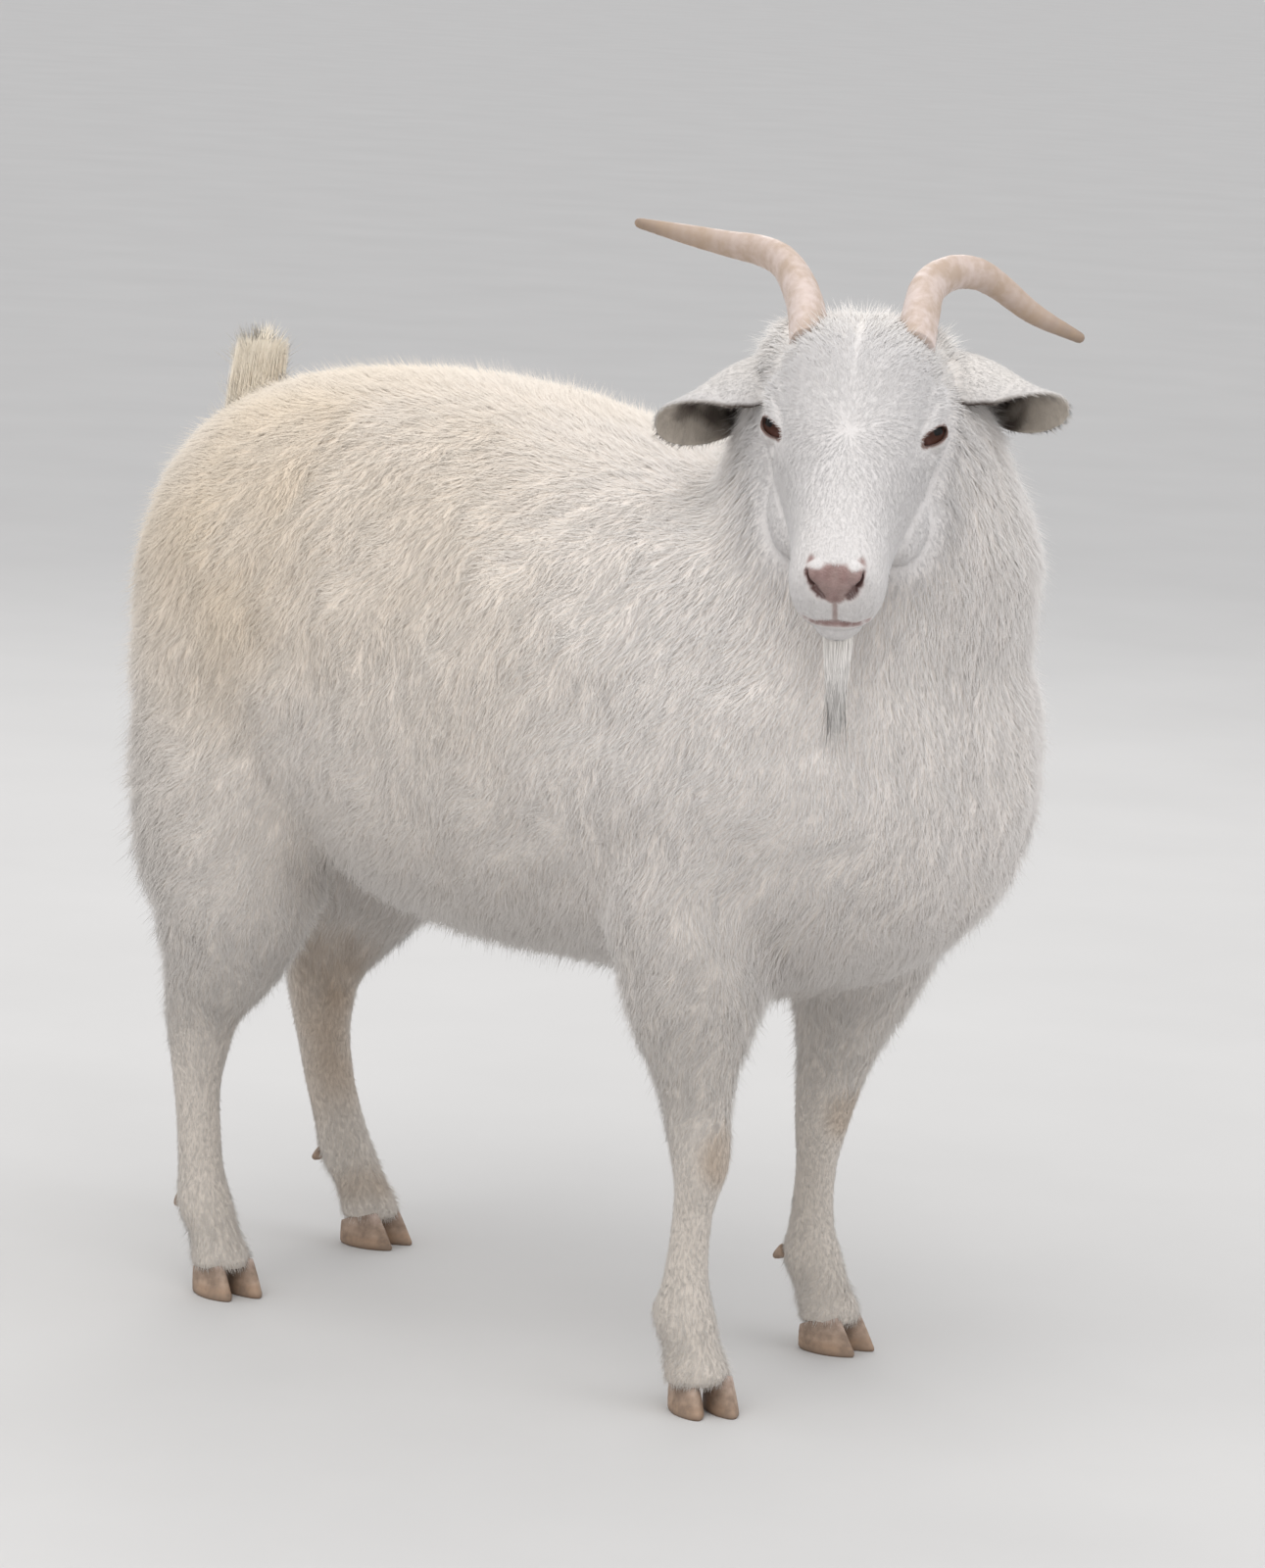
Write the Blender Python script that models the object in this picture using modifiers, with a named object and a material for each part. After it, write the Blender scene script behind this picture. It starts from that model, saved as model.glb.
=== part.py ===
"""A cashmere doe, life size, standing square with her head turned to her right.

The frame is the goat's own while she is modelled: +X forward, +Y to her left, +Z up, in metres,
with the floor at zero and the middle of her four feet at the origin. set_down() at the end moves
the whole model, so that the middle of its box stands over the origin.
"""

import math
import random

import bmesh
import bpy
import numpy as np
from mathutils import Matrix, Vector
from mathutils.bvhtree import BVHTree

GAP = 0.0003  # kept between pieces that touch
COAT_ROOM = 0.0012  # the locks stay this clear of the ears and the tail
SLIVER = 0.00001
EASE = 0.00005
SEED = 11

# Outline of the coat, rump to chest: x, top, bottom, half width
TRUNK = (
    (-0.350, 0.560, 0.460, 0.045),
    (-0.330, 0.622, 0.395, 0.096),
    (-0.298, 0.667, 0.358, 0.138),
    (-0.235, 0.695, 0.346, 0.163),
    (-0.150, 0.707, 0.326, 0.176),
    (-0.050, 0.706, 0.297, 0.184),
    (0.060, 0.689, 0.292, 0.184),
    (0.160, 0.674, 0.290, 0.180),
    (0.250, 0.655, 0.292, 0.174),
    (0.316, 0.620, 0.312, 0.155),
    (0.362, 0.570, 0.348, 0.116),
    (0.383, 0.515, 0.396, 0.066),
)
TRUNK_SQUARE = 0.90  # under 1 fills out the corners of a section

# Level sections of the neck and limbs: x, y, z, half depth, half width
NECK = (
    (0.200, 0.004, 0.470, 0.155, 0.155),
    (0.244, 0.008, 0.545, 0.150, 0.146),
    (0.270, 0.006, 0.610, 0.134, 0.130),
    (0.284, -0.006, 0.665, 0.110, 0.108),
    (0.287, -0.018, 0.710, 0.092, 0.092),
    (0.280, -0.026, 0.750, 0.074, 0.074),
    (0.276, -0.028, 0.775, 0.052, 0.052),
)
LEGS = {
    "fore_r": (
        (0.230, -0.100, 0.480, 0.090, 0.070),
        (0.228, -0.108, 0.380, 0.078, 0.064),
        (0.226, -0.110, 0.310, 0.062, 0.055),
        (0.228, -0.110, 0.270, 0.047, 0.044),
        (0.234, -0.110, 0.225, 0.031, 0.029),
        (0.240, -0.110, 0.183, 0.0255, 0.0245),
        (0.240, -0.110, 0.165, 0.0215, 0.0210),
        (0.236, -0.110, 0.142, 0.0180, 0.0175),
        (0.233, -0.110, 0.112, 0.0182, 0.0175),
        (0.232, -0.110, 0.088, 0.0205, 0.0195),
        (0.232, -0.110, 0.066, 0.0265, 0.0245),
        (0.240, -0.110, 0.046, 0.0230, 0.0240),
        (0.246, -0.110, 0.030, 0.0250, 0.0275),
        (0.246, -0.110, 0.020, 0.0250, 0.0275),
    ),
    "fore_l": (
        (0.225, 0.100, 0.480, 0.090, 0.070),
        (0.218, 0.108, 0.380, 0.080, 0.066),
        (0.212, 0.110, 0.310, 0.064, 0.058),
        (0.206, 0.110, 0.270, 0.052, 0.048),
        (0.194, 0.110, 0.225, 0.035, 0.033),
        (0.185, 0.110, 0.183, 0.0265, 0.0255),
        (0.182, 0.110, 0.160, 0.0225, 0.0220),
        (0.180, 0.110, 0.138, 0.0190, 0.0185),
        (0.178, 0.110, 0.112, 0.0185, 0.0180),
        (0.178, 0.110, 0.088, 0.0205, 0.0195),
        (0.180, 0.110, 0.066, 0.0260, 0.0240),
        (0.190, 0.110, 0.046, 0.0230, 0.0240),
        (0.198, 0.110, 0.030, 0.0250, 0.0265),
        (0.198, 0.110, 0.020, 0.0250, 0.0265),
    ),
    "hind_r": (
        (-0.228, -0.086, 0.540, 0.095, 0.078),
        (-0.220, -0.098, 0.430, 0.095, 0.074),
        (-0.216, -0.106, 0.345, 0.084, 0.066),
        (-0.212, -0.108, 0.285, 0.065, 0.057),
        (-0.226, -0.107, 0.243, 0.049, 0.043),
        (-0.243, -0.106, 0.210, 0.0345, 0.0290),
        (-0.246, -0.106, 0.185, 0.0280, 0.0245),
        (-0.247, -0.106, 0.158, 0.0225, 0.0205),
        (-0.244, -0.106, 0.125, 0.0205, 0.0190),
        (-0.240, -0.106, 0.092, 0.0210, 0.0195),
        (-0.234, -0.106, 0.064, 0.0250, 0.0235),
        (-0.224, -0.106, 0.045, 0.0215, 0.0225),
        (-0.217, -0.106, 0.030, 0.0240, 0.0260),
        (-0.217, -0.106, 0.020, 0.0240, 0.0260),
    ),
    "hind_l": (
        (-0.235, 0.086, 0.540, 0.095, 0.078),
        (-0.236, 0.098, 0.430, 0.098, 0.074),
        (-0.246, 0.106, 0.345, 0.088, 0.068),
        (-0.262, 0.108, 0.285, 0.070, 0.060),
        (-0.288, 0.107, 0.243, 0.052, 0.046),
        (-0.308, 0.106, 0.210, 0.0375, 0.0310),
        (-0.311, 0.106, 0.185, 0.0310, 0.0265),
        (-0.308, 0.106, 0.158, 0.0260, 0.0230),
        (-0.300, 0.106, 0.125, 0.0240, 0.0215),
        (-0.288, 0.106, 0.092, 0.0240, 0.0215),
        (-0.276, 0.106, 0.064, 0.0265, 0.0240),
        (-0.262, 0.106, 0.045, 0.0230, 0.0230),
        (-0.253, 0.106, 0.030, 0.0245, 0.0260),
        (-0.253, 0.106, 0.020, 0.0245, 0.0260),
    ),
}
FETLOCK = -4  # the station of each leg at its fetlock
LIMB_SIDES = 16
TRUNK_SIDES = 28

# Feet: middle of the sole and the way the toes point, in degrees from +X
FEET = {
    "fore_r": (0.254, -0.110, -32.0),
    "fore_l": (0.207, 0.110, 2.0),
    "hind_r": (-0.208, -0.106, -18.0),
    "hind_l": (-0.244, 0.106, 4.0),
}
CORONET = 0.028  # height at which hair ends and horn begins
CLAW_LENGTH = 0.050
CLAW_WIDTH = 0.0230
CLAW_SPREAD = 0.0130  # from the middle of the foot to the middle of a claw
CLAW_RAKE = 0.012  # how far the toe stands before the coronet
CLAW_SHRINK = 0.16  # how much smaller the claw is at the coronet
CLAW_TOE_TAPER = 0.30
CLAW_HEEL_DROP = 0.10  # how much lower the heel is than the toe
CLAW_INNER = 0.62  # how full the wall between the claws is
CLAW_SIDES = 14
DEWCLAW = (0.0062, 0.013)  # radius and length
DEWCLAW_TILT = -125.0
DEWCLAW_SPREAD = 0.0115
DEWCLAW_SINK = 0.004
DEWCLAW_SIDES = 8

# Head frame: x to the nose, y to her left, z out of the brow, from the crown between the horns
CROWN = (0.3015, -0.048, 0.7844)
HEAD_YAW = -57.0
HEAD_PITCH = -38.0
SKULL = (  # x, top, bottom, half width, on the short hair of the head
    (-0.048, -0.058, -0.098, 0.026),
    (-0.034, -0.036, -0.112, 0.048),
    (-0.010, -0.008, -0.122, 0.0590),
    (0.015, 0.011, -0.126, 0.0630),
    (0.045, 0.020, -0.127, 0.0630),
    (0.075, 0.021, -0.124, 0.0605),
    (0.105, 0.014, -0.117, 0.0560),
    (0.135, 0.006, -0.107, 0.0475),
    (0.165, -0.001, -0.097, 0.0395),
    (0.195, -0.006, -0.091, 0.0350),
    (0.218, -0.011, -0.086, 0.0345),
    (0.234, -0.017, -0.080, 0.0300),
    (0.243, -0.028, -0.068, 0.0190),
)
SKULL_SQUARE = 0.86
SKULL_SIDES = 24
SWELLING_SIDES = 20
SWELLINGS = (  # ellipsoids on both sides of the head: x, y, z, then the three half sizes
    (0.000, 0.0430, -0.052, 0.028, 0.0235, 0.028),  # hair over the root of the ear
    (0.072, 0.0425, -0.024, 0.036, 0.0205, 0.016),  # brow
    (0.082, 0.0420, -0.048, 0.036, 0.0200, 0.018),  # under the eye
    (0.050, 0.0355, -0.082, 0.058, 0.0345, 0.038),  # cheek
    (0.104, 0.0310, -0.088, 0.052, 0.0260, 0.027),  # jaw muscle
    (0.226, 0.0150, -0.048, 0.018, 0.0175, 0.016),  # upper lip
    (0.234, 0.0130, -0.026, 0.011, 0.0110, 0.012),  # wing of the nostril
    (0.218, 0.0000, -0.078, 0.023, 0.0195, 0.015),  # chin
)
EYE = (0.0835, 0.0490, -0.0350)  # middle of her left eyeball
EYE_RADIUS = 0.0135
EYE_SIDES = 14
EYE_GAZE = (0.60, 0.66, 0.45)
EYE_SLIT = (0.75, -0.66, 0.0)  # from the back corner of the lids to the front one
LID_THICKNESS = 0.0022
LID_OPENING = (0.0145, 0.0082)  # half length and half height
MOUTH = ((0.196, 0.036, -0.055), (0.222, 0.027, -0.062), (0.240, 0.012, -0.066), (0.246, 0.0, -0.064))
NOSTRIL = ((0.246, 0.0060, -0.033), (0.242, 0.0140, -0.022), (0.236, 0.0190, -0.012))
PHILTRUM = ((0.247, 0.0, -0.040), (0.247, 0.0, -0.054), (0.246, 0.0, -0.064))
MOUTH_RADIUS = 0.0013
PHILTRUM_RADIUS = 0.0009
NOSTRIL_RADIUS = 0.0030
NOSTRIL_SINK = 0.0010
GROOVE_SIDES = 6
GROOVE_PARTS = 3
GROOVE_END = 0.4  # share of the radius at both ends of a groove

HORNS = {  # points from the skull to the tip, in the head frame
    "horn_r": (
        (0.022, -0.037, -0.014),
        (-0.007, -0.0405, -0.010),
        (-0.035, -0.049, -0.009),
        (-0.057, -0.061, -0.009),
        (-0.071, -0.078, -0.012),
        (-0.082, -0.102, -0.017),
        (-0.094, -0.132, -0.021),
        (-0.107, -0.168, -0.024),
    ),
    "horn_l": (
        (0.020, 0.037, -0.014),
        (-0.013, 0.0385, -0.011),
        (-0.041, 0.042, -0.012),
        (-0.061, 0.056, -0.016),
        (-0.071, 0.073, -0.024),
        (-0.075, 0.089, -0.038),
        (-0.074, 0.115, -0.062),
        (-0.074, 0.147, -0.082),
    ),
}
HORN_RADII = (0.0165, 0.0162, 0.0150, 0.0132, 0.0118, 0.0100, 0.0078, 0.0042)
HORN_SIDES = 8
HORN_FLATTENING = 0.82

EARS = {  # the ridge of each ear from its root to its tip, in the head frame
    "ear_r": (
        (-0.010, -0.046, -0.046),
        (0.004, -0.076, -0.045),
        (0.020, -0.107, -0.057),
        (0.048, -0.138, -0.085),
    ),
    "ear_l": (
        (-0.014, 0.046, -0.048),
        (-0.008, 0.076, -0.044),
        (0.004, 0.108, -0.052),
        (0.024, 0.143, -0.070),
    ),
}
EAR_WIDTHS = (0.022, 0.033, 0.039, 0.038, 0.018)  # half widths, root to tip
EAR_CURLS = (80.0, 74.0, 66.0, 56.0, 34.0)  # degrees from the ridge to each rim
EAR_THICKNESS = 0.0030
EAR_FOLDS = 6
EAR_FACING = {  # how the hollow side faces forward and down, root to tip
    "ear_r": ((0.55, 0.83), (0.18, 0.98), (0.08, 1.00), (0.20, 0.98)),
    "ear_l": ((0.60, 0.80), (0.30, 0.95), (0.24, 0.97), (0.45, 0.89)),
}

TAIL_CORE = (
    (-0.322, 0.0, 0.585, 0.024, 0.028),
    (-0.318, 0.0, 0.625, 0.020, 0.022),
    (-0.308, 0.0, 0.668, 0.013, 0.014),
)
TAIL_ROOT = (-0.321, 0.0, 0.600)
TAIL_TOP = (-0.301, 0.0, 0.712)
TAIL_RADIUS = 0.013  # from the middle of the brush to the roots of its locks
TAIL_FLARE = (1.0, 1.5)  # how much wider the top of the brush may be than its root
TAIL_RAGGED = 0.008  # how far a lock may end under the top
TAIL_LOCKS = 9
TAIL_HALVES = (0.0145, 0.0075)
TAIL_SIDES = 10

# Coat: locks over a core
CORE_DEPTH = ((0.00, 0.0015), (0.20, 0.005), (0.26, 0.016), (0.34, 0.024))  # height, depth under the outline
LOCKS = (  # region, spacing, length, half width, rise, and how far the lie leans back
    ("neck", 0.076, 0.130, 0.039, 0.020, 0.20),
    ("trunk", 0.091, 0.155, 0.048, 0.025, 0.50),
    ("thigh", 0.070, 0.105, 0.034, 0.017, 0.25),
    ("limb", 0.058, 0.070, 0.023, 0.009, 0.12),
)
LOCK_PROFILE = (  # shares of the length, half width, and of the rise at the crown, edges and underside
    (0.00, 0.60, -0.30, -0.45, -0.60),
    (0.38, 1.00, 0.48, -0.02, -0.25),
    (0.76, 0.74, 0.90, 0.46, 0.12),
)
LOCK_TIP = 1.04  # share of the rise at the tip
LOCK_SWAY = 16.0  # degrees that a lock may turn off the lie
LOCK_FLOOR = 0.200  # the legs carry only short hair below this
LIMB_TOP = 0.262
THIGH_TOP = 0.360
THIGH_INNER = 0.060
THIGH_FROM_MIDDLE = 0.130
NECK_BACK = 0.200
NECK_FOOT = 0.560
CANDIDATES = 14000
BODY_VOXEL = 0.0060
BODY_TRIANGLES = 2500
BODY_SMOOTHING = 12
LEG_SMOOTHING = 2
SMOOTH_BAND = (0.20, 0.32)  # heights between which the smoothing of the body fades out
HEAD_VOXEL = 0.0026
HEAD_TRIANGLES = 1750
HEAD_SMOOTHING = 6
LEG_CUTS = {"fore": 0.286, "hind": 0.318}
LOIN_CUT = -0.130
SHOULDER_CUT = 0.110
NECK_CUT = ((0.200, 0.0, 0.640), (0.45, 0.0, 0.89))  # a point of the plane and its upward normal

STRAND_PROFILE = ((0.00, 0.75), (0.35, 1.00), (0.72, 0.66))  # share of the length, share of the width
STRAND_BOW = 0.05
STRAND_SIDES = 6
BEARD_ROOT = (0.214, 0.0, -0.080)
BEARD_STRANDS = ((0.0, 0.092, 0.02), (-0.006, 0.070, -0.02), (0.006, 0.064, 0.03))  # side, length, lean
BEARD_SINK = 0.010
BEARD_HALVES = (0.0085, 0.0051)  # half width and half thickness of a strand

COLOURS = {
    "coat": (0.83, 0.78, 0.70),
    "face": (0.86, 0.83, 0.79),
    "beard": (0.84, 0.80, 0.73),
    "ear": (0.84, 0.80, 0.73),
    "tail": (0.85, 0.76, 0.62),
    "horn": (0.60, 0.46, 0.34),
    "hoof": (0.42, 0.31, 0.23),
    "eye": (0.10, 0.05, 0.03),
}
ROUGHNESS = {"horn": 0.55, "hoof": 0.60, "eye": 0.08}
COAT_ROUGHNESS = 0.90
SHARP_ANGLE = 50.0


def clear_scene():
    for obj in list(bpy.data.objects):
        bpy.data.objects.remove(obj)


def collection(name, hidden=False):
    made = bpy.data.collections.new(name)
    bpy.context.scene.collection.children.link(made)
    made.hide_render = hidden
    return made


def material(slot):
    """The material of a slot, made the first time that it is asked for."""
    found = bpy.data.materials.get(slot)
    if found:
        return found
    made = bpy.data.materials.new(slot)
    made.use_nodes = True
    shader = made.node_tree.nodes["Principled BSDF"]
    shader.inputs["Base Color"].default_value = (*COLOURS[slot], 1.0)
    shader.inputs["Roughness"].default_value = ROUGHNESS.get(slot, COAT_ROUGHNESS)
    shader.inputs["Metallic"].default_value = 0.0
    return made


def add_object(name, shape, home):
    """An object in the collection home, from a bmesh, which is freed."""
    mesh = bpy.data.meshes.new(name)
    shape.to_mesh(mesh)
    shape.free()
    obj = bpy.data.objects.new(name, mesh)
    home.objects.link(obj)
    return obj


def drop(obj):
    bpy.data.objects.remove(obj)


def modify(obj, kind, **settings):
    """Puts a modifier on an object and applies it at once."""
    modifier = obj.modifiers.new(kind.title(), kind)
    for name, value in settings.items():
        setattr(modifier, name, value)
    graph = bpy.context.evaluated_depsgraph_get()
    made = bpy.data.meshes.new_from_object(obj.evaluated_get(graph))
    obj.modifiers.clear()
    before = obj.data
    obj.data = made
    bpy.data.meshes.remove(before)
    return obj


def duplicate(obj, name, home):
    made = bpy.data.objects.new(name, obj.data.copy())
    home.objects.link(made)
    return made


def boolean(obj, other, operation):
    modify(obj, "BOOLEAN", operation=operation, object=other, solver="MANIFOLD")


def fuse(obj, pieces):
    """Unites closed pieces with an object in one Boolean and removes them."""
    heap = collection("heap")
    for piece in pieces:
        for home in list(piece.users_collection):
            home.objects.unlink(piece)
        heap.objects.link(piece)
    modify(
        obj, "BOOLEAN", operation="UNION", operand_type="COLLECTION", collection=heap, solver="MANIFOLD"
    )
    for piece in pieces:
        drop(piece)
    bpy.data.collections.remove(heap)
    return obj


def islands(shape):
    """The faces of each separate surface of a bmesh. Surfaces that only touch along an edge are apart."""
    left = set(shape.faces)
    found = []
    while left:
        rim = [left.pop()]
        island = list(rim)
        while rim:
            face = rim.pop()
            for edge in face.edges:
                if len(edge.link_faces) > 2:
                    continue
                for near in edge.link_faces:
                    if near in left:
                        left.discard(near)
                        rim.append(near)
                        island.append(near)
        found.append(island)
    return found


def reach(island):
    corners = np.array([vert.co for face in island for vert in face.verts])
    return float(np.prod(corners.max(0) - corners.min(0)))


def keep_largest(obj):
    """Drops loose scraps and fills sealed hollows."""
    shape = bmesh.new()
    shape.from_mesh(obj.data)
    found = sorted(islands(shape), key=reach)
    scraps = [face for island in found[:-1] for face in island]
    bmesh.ops.delete(shape, geom=scraps, context="FACES")
    shape.to_mesh(obj.data)
    shape.free()
    return obj


def drop_flaps(shape):
    """Removes pairs of triangles that lie back to back on the same three corners."""
    seen = {}
    flaps = []
    for face in shape.faces:
        twin = seen.setdefault(frozenset(face.verts), face)
        if twin is not face:
            flaps.extend((face, twin))
    bmesh.ops.delete(shape, geom=flaps, context="FACES")


def ease_apart(shape):
    """Where two corners touch without being joined, draws one a hair's breadth into its own solid."""
    shape.normal_update()
    touching = bmesh.ops.find_doubles(shape, verts=shape.verts[:], dist=SLIVER)["targetmap"]
    for vert in touching:
        vert.co -= vert.normal * EASE


def mend(obj):
    """Triangles without slivers, flaps or touching corners, and only the largest closed surface."""
    shape = bmesh.new()
    shape.from_mesh(obj.data)
    bmesh.ops.dissolve_degenerate(shape, dist=SLIVER, edges=shape.edges[:])
    bmesh.ops.triangulate(shape, faces=shape.faces[:])
    drop_flaps(shape)
    ease_apart(shape)
    shape.to_mesh(obj.data)
    shape.free()
    return keep_largest(obj)


def clear_of(obj, neighbour, tools, room=GAP):
    """Cuts an object clear of its neighbour, with this much room between them."""
    cutter = duplicate(neighbour, "cutter", tools)
    modify(cutter, "DISPLACE", strength=room, mid_level=0.0)
    boolean(obj, cutter, "DIFFERENCE")
    drop(cutter)
    return keep_largest(obj)


def smooth_curve(knots, parts):
    """Rows of numbers along a smooth curve through the knots, with this many parts to a span."""
    knots = np.asarray(knots, float)
    padded = np.vstack([2 * knots[0] - knots[1], knots, 2 * knots[-1] - knots[-2]])
    rows = []
    for i in range(len(knots) - 1):
        a, b, c, d = padded[i : i + 4]
        for t in np.arange(parts) / parts:
            bend = (2 * a - 5 * b + 4 * c - d) * t**2 + (3 * b - a - 3 * c + d) * t**3
            rows.append(0.5 * (2 * b + (c - a) * t + bend))
    rows.append(knots[-1])
    return np.array(rows)


def read_curve(knots, t):
    """A row of numbers at t, from 0 to 1, along evenly spaced knots joined by straight lines."""
    knots = np.asarray(knots, float).reshape(len(knots), -1)
    places = np.linspace(0.0, 1.0, len(knots))
    return np.array([np.interp(t, places, column) for column in knots.T])


def oval(centre, across, along, sides, square=1.0):
    """Points of an oval with these two half axes. A square under 1 fills out its corners."""
    angles = 2 * np.pi * np.arange(sides) / sides
    c, s = np.cos(angles), np.sin(angles)
    c = np.sign(c) * np.abs(c) ** square
    s = np.sign(s) * np.abs(s) ** square
    return np.asarray(centre) + np.outer(c, across) + np.outer(s, along)


def loft(rings):
    """A closed bmesh through rings of points: the first ring's edge is extruded from ring to ring."""
    shape = bmesh.new()
    slot = shape.verts.layers.int.new("slot")
    start = bmesh.ops.create_circle(shape, segments=len(rings[0]), radius=1.0)["verts"]
    for i, vert in enumerate(start):
        vert[slot] = i
        vert.co = rings[0][i]
    edges = shape.edges[:]
    bmesh.ops.contextual_create(shape, geom=edges)
    for ring in rings[1:]:
        grown = bmesh.ops.extrude_edge_only(shape, edges=edges)["geom"]
        edges = [item for item in grown if isinstance(item, bmesh.types.BMEdge)]
        for vert in (item for item in grown if isinstance(item, bmesh.types.BMVert)):
            vert.co = ring[vert[slot] % len(ring)]
    if len(rings[-1]) == 1:
        tip = list({vert for edge in edges for vert in edge.verts})
        bmesh.ops.pointmerge(shape, verts=tip, merge_co=tip[0].co)
    else:
        bmesh.ops.contextual_create(shape, geom=edges)
    bmesh.ops.recalc_face_normals(shape, faces=shape.faces[:])
    return shape


def ellipsoid(centre, halves, sides):
    shape = bmesh.new()
    bmesh.ops.create_uvsphere(shape, u_segments=sides, v_segments=sides // 2, radius=1.0)
    bmesh.ops.scale(shape, vec=Vector(halves), verts=shape.verts)
    bmesh.ops.translate(shape, vec=Vector(centre), verts=shape.verts)
    return shape


def heap_up(shapes):
    """One bmesh that holds all of these, which are freed."""
    whole = bmesh.new()
    for shape in shapes:
        loose = bpy.data.meshes.new("loose")
        shape.to_mesh(loose)
        shape.free()
        whole.from_mesh(loose)
        bpy.data.meshes.remove(loose)
    return whole


def coat_depth(z):
    """How far the core lies under the outline of the coat at this height."""
    heights, depths = zip(*CORE_DEPTH)
    return float(np.interp(z, heights, depths))


def level_loft(stations, sides, parts, inset):
    """A limb or neck from level sections, each drawn in by what inset gives for its height."""
    rings = []
    for x, y, z, deep, wide in smooth_curve(stations, parts):
        depth = inset(z)
        rings.append(oval((x, y, z), (deep - depth, 0, 0), (0, wide - depth, 0), sides))
    return loft(rings)


def upright_loft(stations, sides, parts, inset, square):
    """A trunk or skull from sections across x, given by x, top, bottom and half width."""
    rings = []
    for x, top, bottom, wide in smooth_curve(stations, parts):
        middle = (top + bottom) / 2
        tall = (top - bottom) / 2 - inset
        rings.append(oval((x, 0, middle), (0, wide - inset, 0), (0, 0, tall), sides, square))
    return loft(rings)


def simplify(obj, triangles):
    count = sum(len(face.vertices) - 2 for face in obj.data.polygons)
    return modify(obj, "DECIMATE", ratio=triangles / count)


def make_core(home):
    """Trunk, neck and legs in one skin, under the locks."""
    shapes = [upright_loft(TRUNK, TRUNK_SIDES, 3, CORE_DEPTH[-1][1], TRUNK_SQUARE)]
    for stations in (NECK, *LEGS.values()):
        shapes.append(level_loft(stations, LIMB_SIDES, 4, coat_depth))
    core = add_object("core", heap_up(shapes), home)
    modify(core, "REMESH", mode="VOXEL", voxel_size=BODY_VOXEL)
    upper = core.vertex_groups.new(name="upper")
    for vert in core.data.vertices:
        upper.add([vert.index], float(np.interp(vert.co.z, SMOOTH_BAND, (0.0, 1.0))), "REPLACE")
    modify(core, "SMOOTH", factor=0.5, iterations=BODY_SMOOTHING, vertex_group="upper")
    modify(core, "SMOOTH", factor=0.5, iterations=LEG_SMOOTHING)
    return simplify(core, BODY_TRIANGLES)


def region_of(place):
    """The kind of lock that grows at a place on the core."""
    if place.z < LIMB_TOP:
        return "limb"
    if place.z < THIGH_TOP and abs(place.y) > THIGH_INNER and abs(place.x) > THIGH_FROM_MIDDLE:
        return "thigh"
    if place.x > NECK_BACK and place.z > NECK_FOOT:
        return "neck"
    return "trunk"


def lock_roots(core):
    """Even random places on the core, with the kind of lock that each carries."""
    mesh = core.data
    mesh.calc_loop_triangles()
    corners = np.array([[mesh.vertices[i].co for i in face.vertices] for face in mesh.loop_triangles])
    areas = np.linalg.norm(np.cross(corners[:, 1] - corners[:, 0], corners[:, 2] - corners[:, 0]), axis=1)
    draw = np.random.default_rng(SEED)
    faces = draw.choice(len(areas), CANDIDATES, p=areas / areas.sum())
    u, v = draw.random((2, CANDIDATES, 1))
    fold = u + v > 1
    u, v = np.where(fold, 1 - u, u), np.where(fold, 1 - v, v)
    a, b, c = np.moveaxis(corners[faces], 1, 0)
    sizes = {name: row for name, *row in LOCKS}
    kept = []
    for place in a + u * (b - a) + v * (c - a):
        place = Vector(place)
        if place.z < LOCK_FLOOR:
            continue
        kind = region_of(place)
        if all((place - other).length > sizes[kind][0] for other, _ in kept):
            kept.append((place, kind))
    return kept


def lie_at(normal, lean):
    """The way that the hair lies: down and back, along the skin."""
    way = Vector((-lean, 0, -1))
    return (way - way.dot(normal) * normal).normalized()


def make_lock(tree, root, kind, draw, home):
    """A flat tapered lock: sunk at its root, it follows the skin and stands off it towards its tip."""
    _, _, length, half, rise, lean = next(row for row in LOCKS if row[0] == kind)
    length *= draw.uniform(0.85, 1.15)
    half *= draw.uniform(0.88, 1.12)
    sway = math.radians(draw.uniform(-LOCK_SWAY, LOCK_SWAY))
    place, normal, _, _ = tree.find_nearest(root)
    rings = []
    walked = 0.0
    for t, wide, crown, edge, under in LOCK_PROFILE:
        along = Matrix.Rotation(sway * (0.5 + t), 3, normal) @ lie_at(normal, lean)
        step = (t - walked) * length
        place, normal, _, _ = tree.find_nearest(place + along * step)
        walked = t
        side = normal.cross(along).normalized() * half * wide
        left, left_normal, _, _ = tree.find_nearest(place - side)
        right, right_normal, _, _ = tree.find_nearest(place + side)
        rings.append(
            [
                left + left_normal * edge * rise,
                place + normal * crown * rise,
                right + right_normal * edge * rise,
                place + normal * under * rise,
            ]
        )
    along = Matrix.Rotation(sway * 1.5, 3, normal) @ lie_at(normal, lean)
    tip, normal, _, _ = tree.find_nearest(place + along * (1 - walked) * length)
    rings.append([tip + normal * LOCK_TIP * rise])
    return add_object("lock", loft(rings), home)


def grow_locks(core, home):
    """Covers the core with its locks and fuses them to it."""
    tree = BVHTree.FromPolygons([v.co for v in core.data.vertices], [p.vertices for p in core.data.polygons])
    draw = random.Random(SEED)
    locks = [make_lock(tree, place, kind, draw, home) for place, kind in lock_roots(core)]
    fuse(core, locks)
    return keep_largest(core)


def head_frame():
    """The matrix that takes the head's own frame into the goat's."""
    turn = Matrix.Rotation(math.radians(HEAD_YAW), 4, "Z") @ Matrix.Rotation(math.radians(-HEAD_PITCH), 4, "Y")
    return Matrix.Translation(CROWN) @ turn


def hanging_down():
    """Straight down, in the head's own frame."""
    tilt = math.radians(-HEAD_PITCH)
    return Vector((math.sin(tilt), 0, -math.cos(tilt)))


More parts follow.
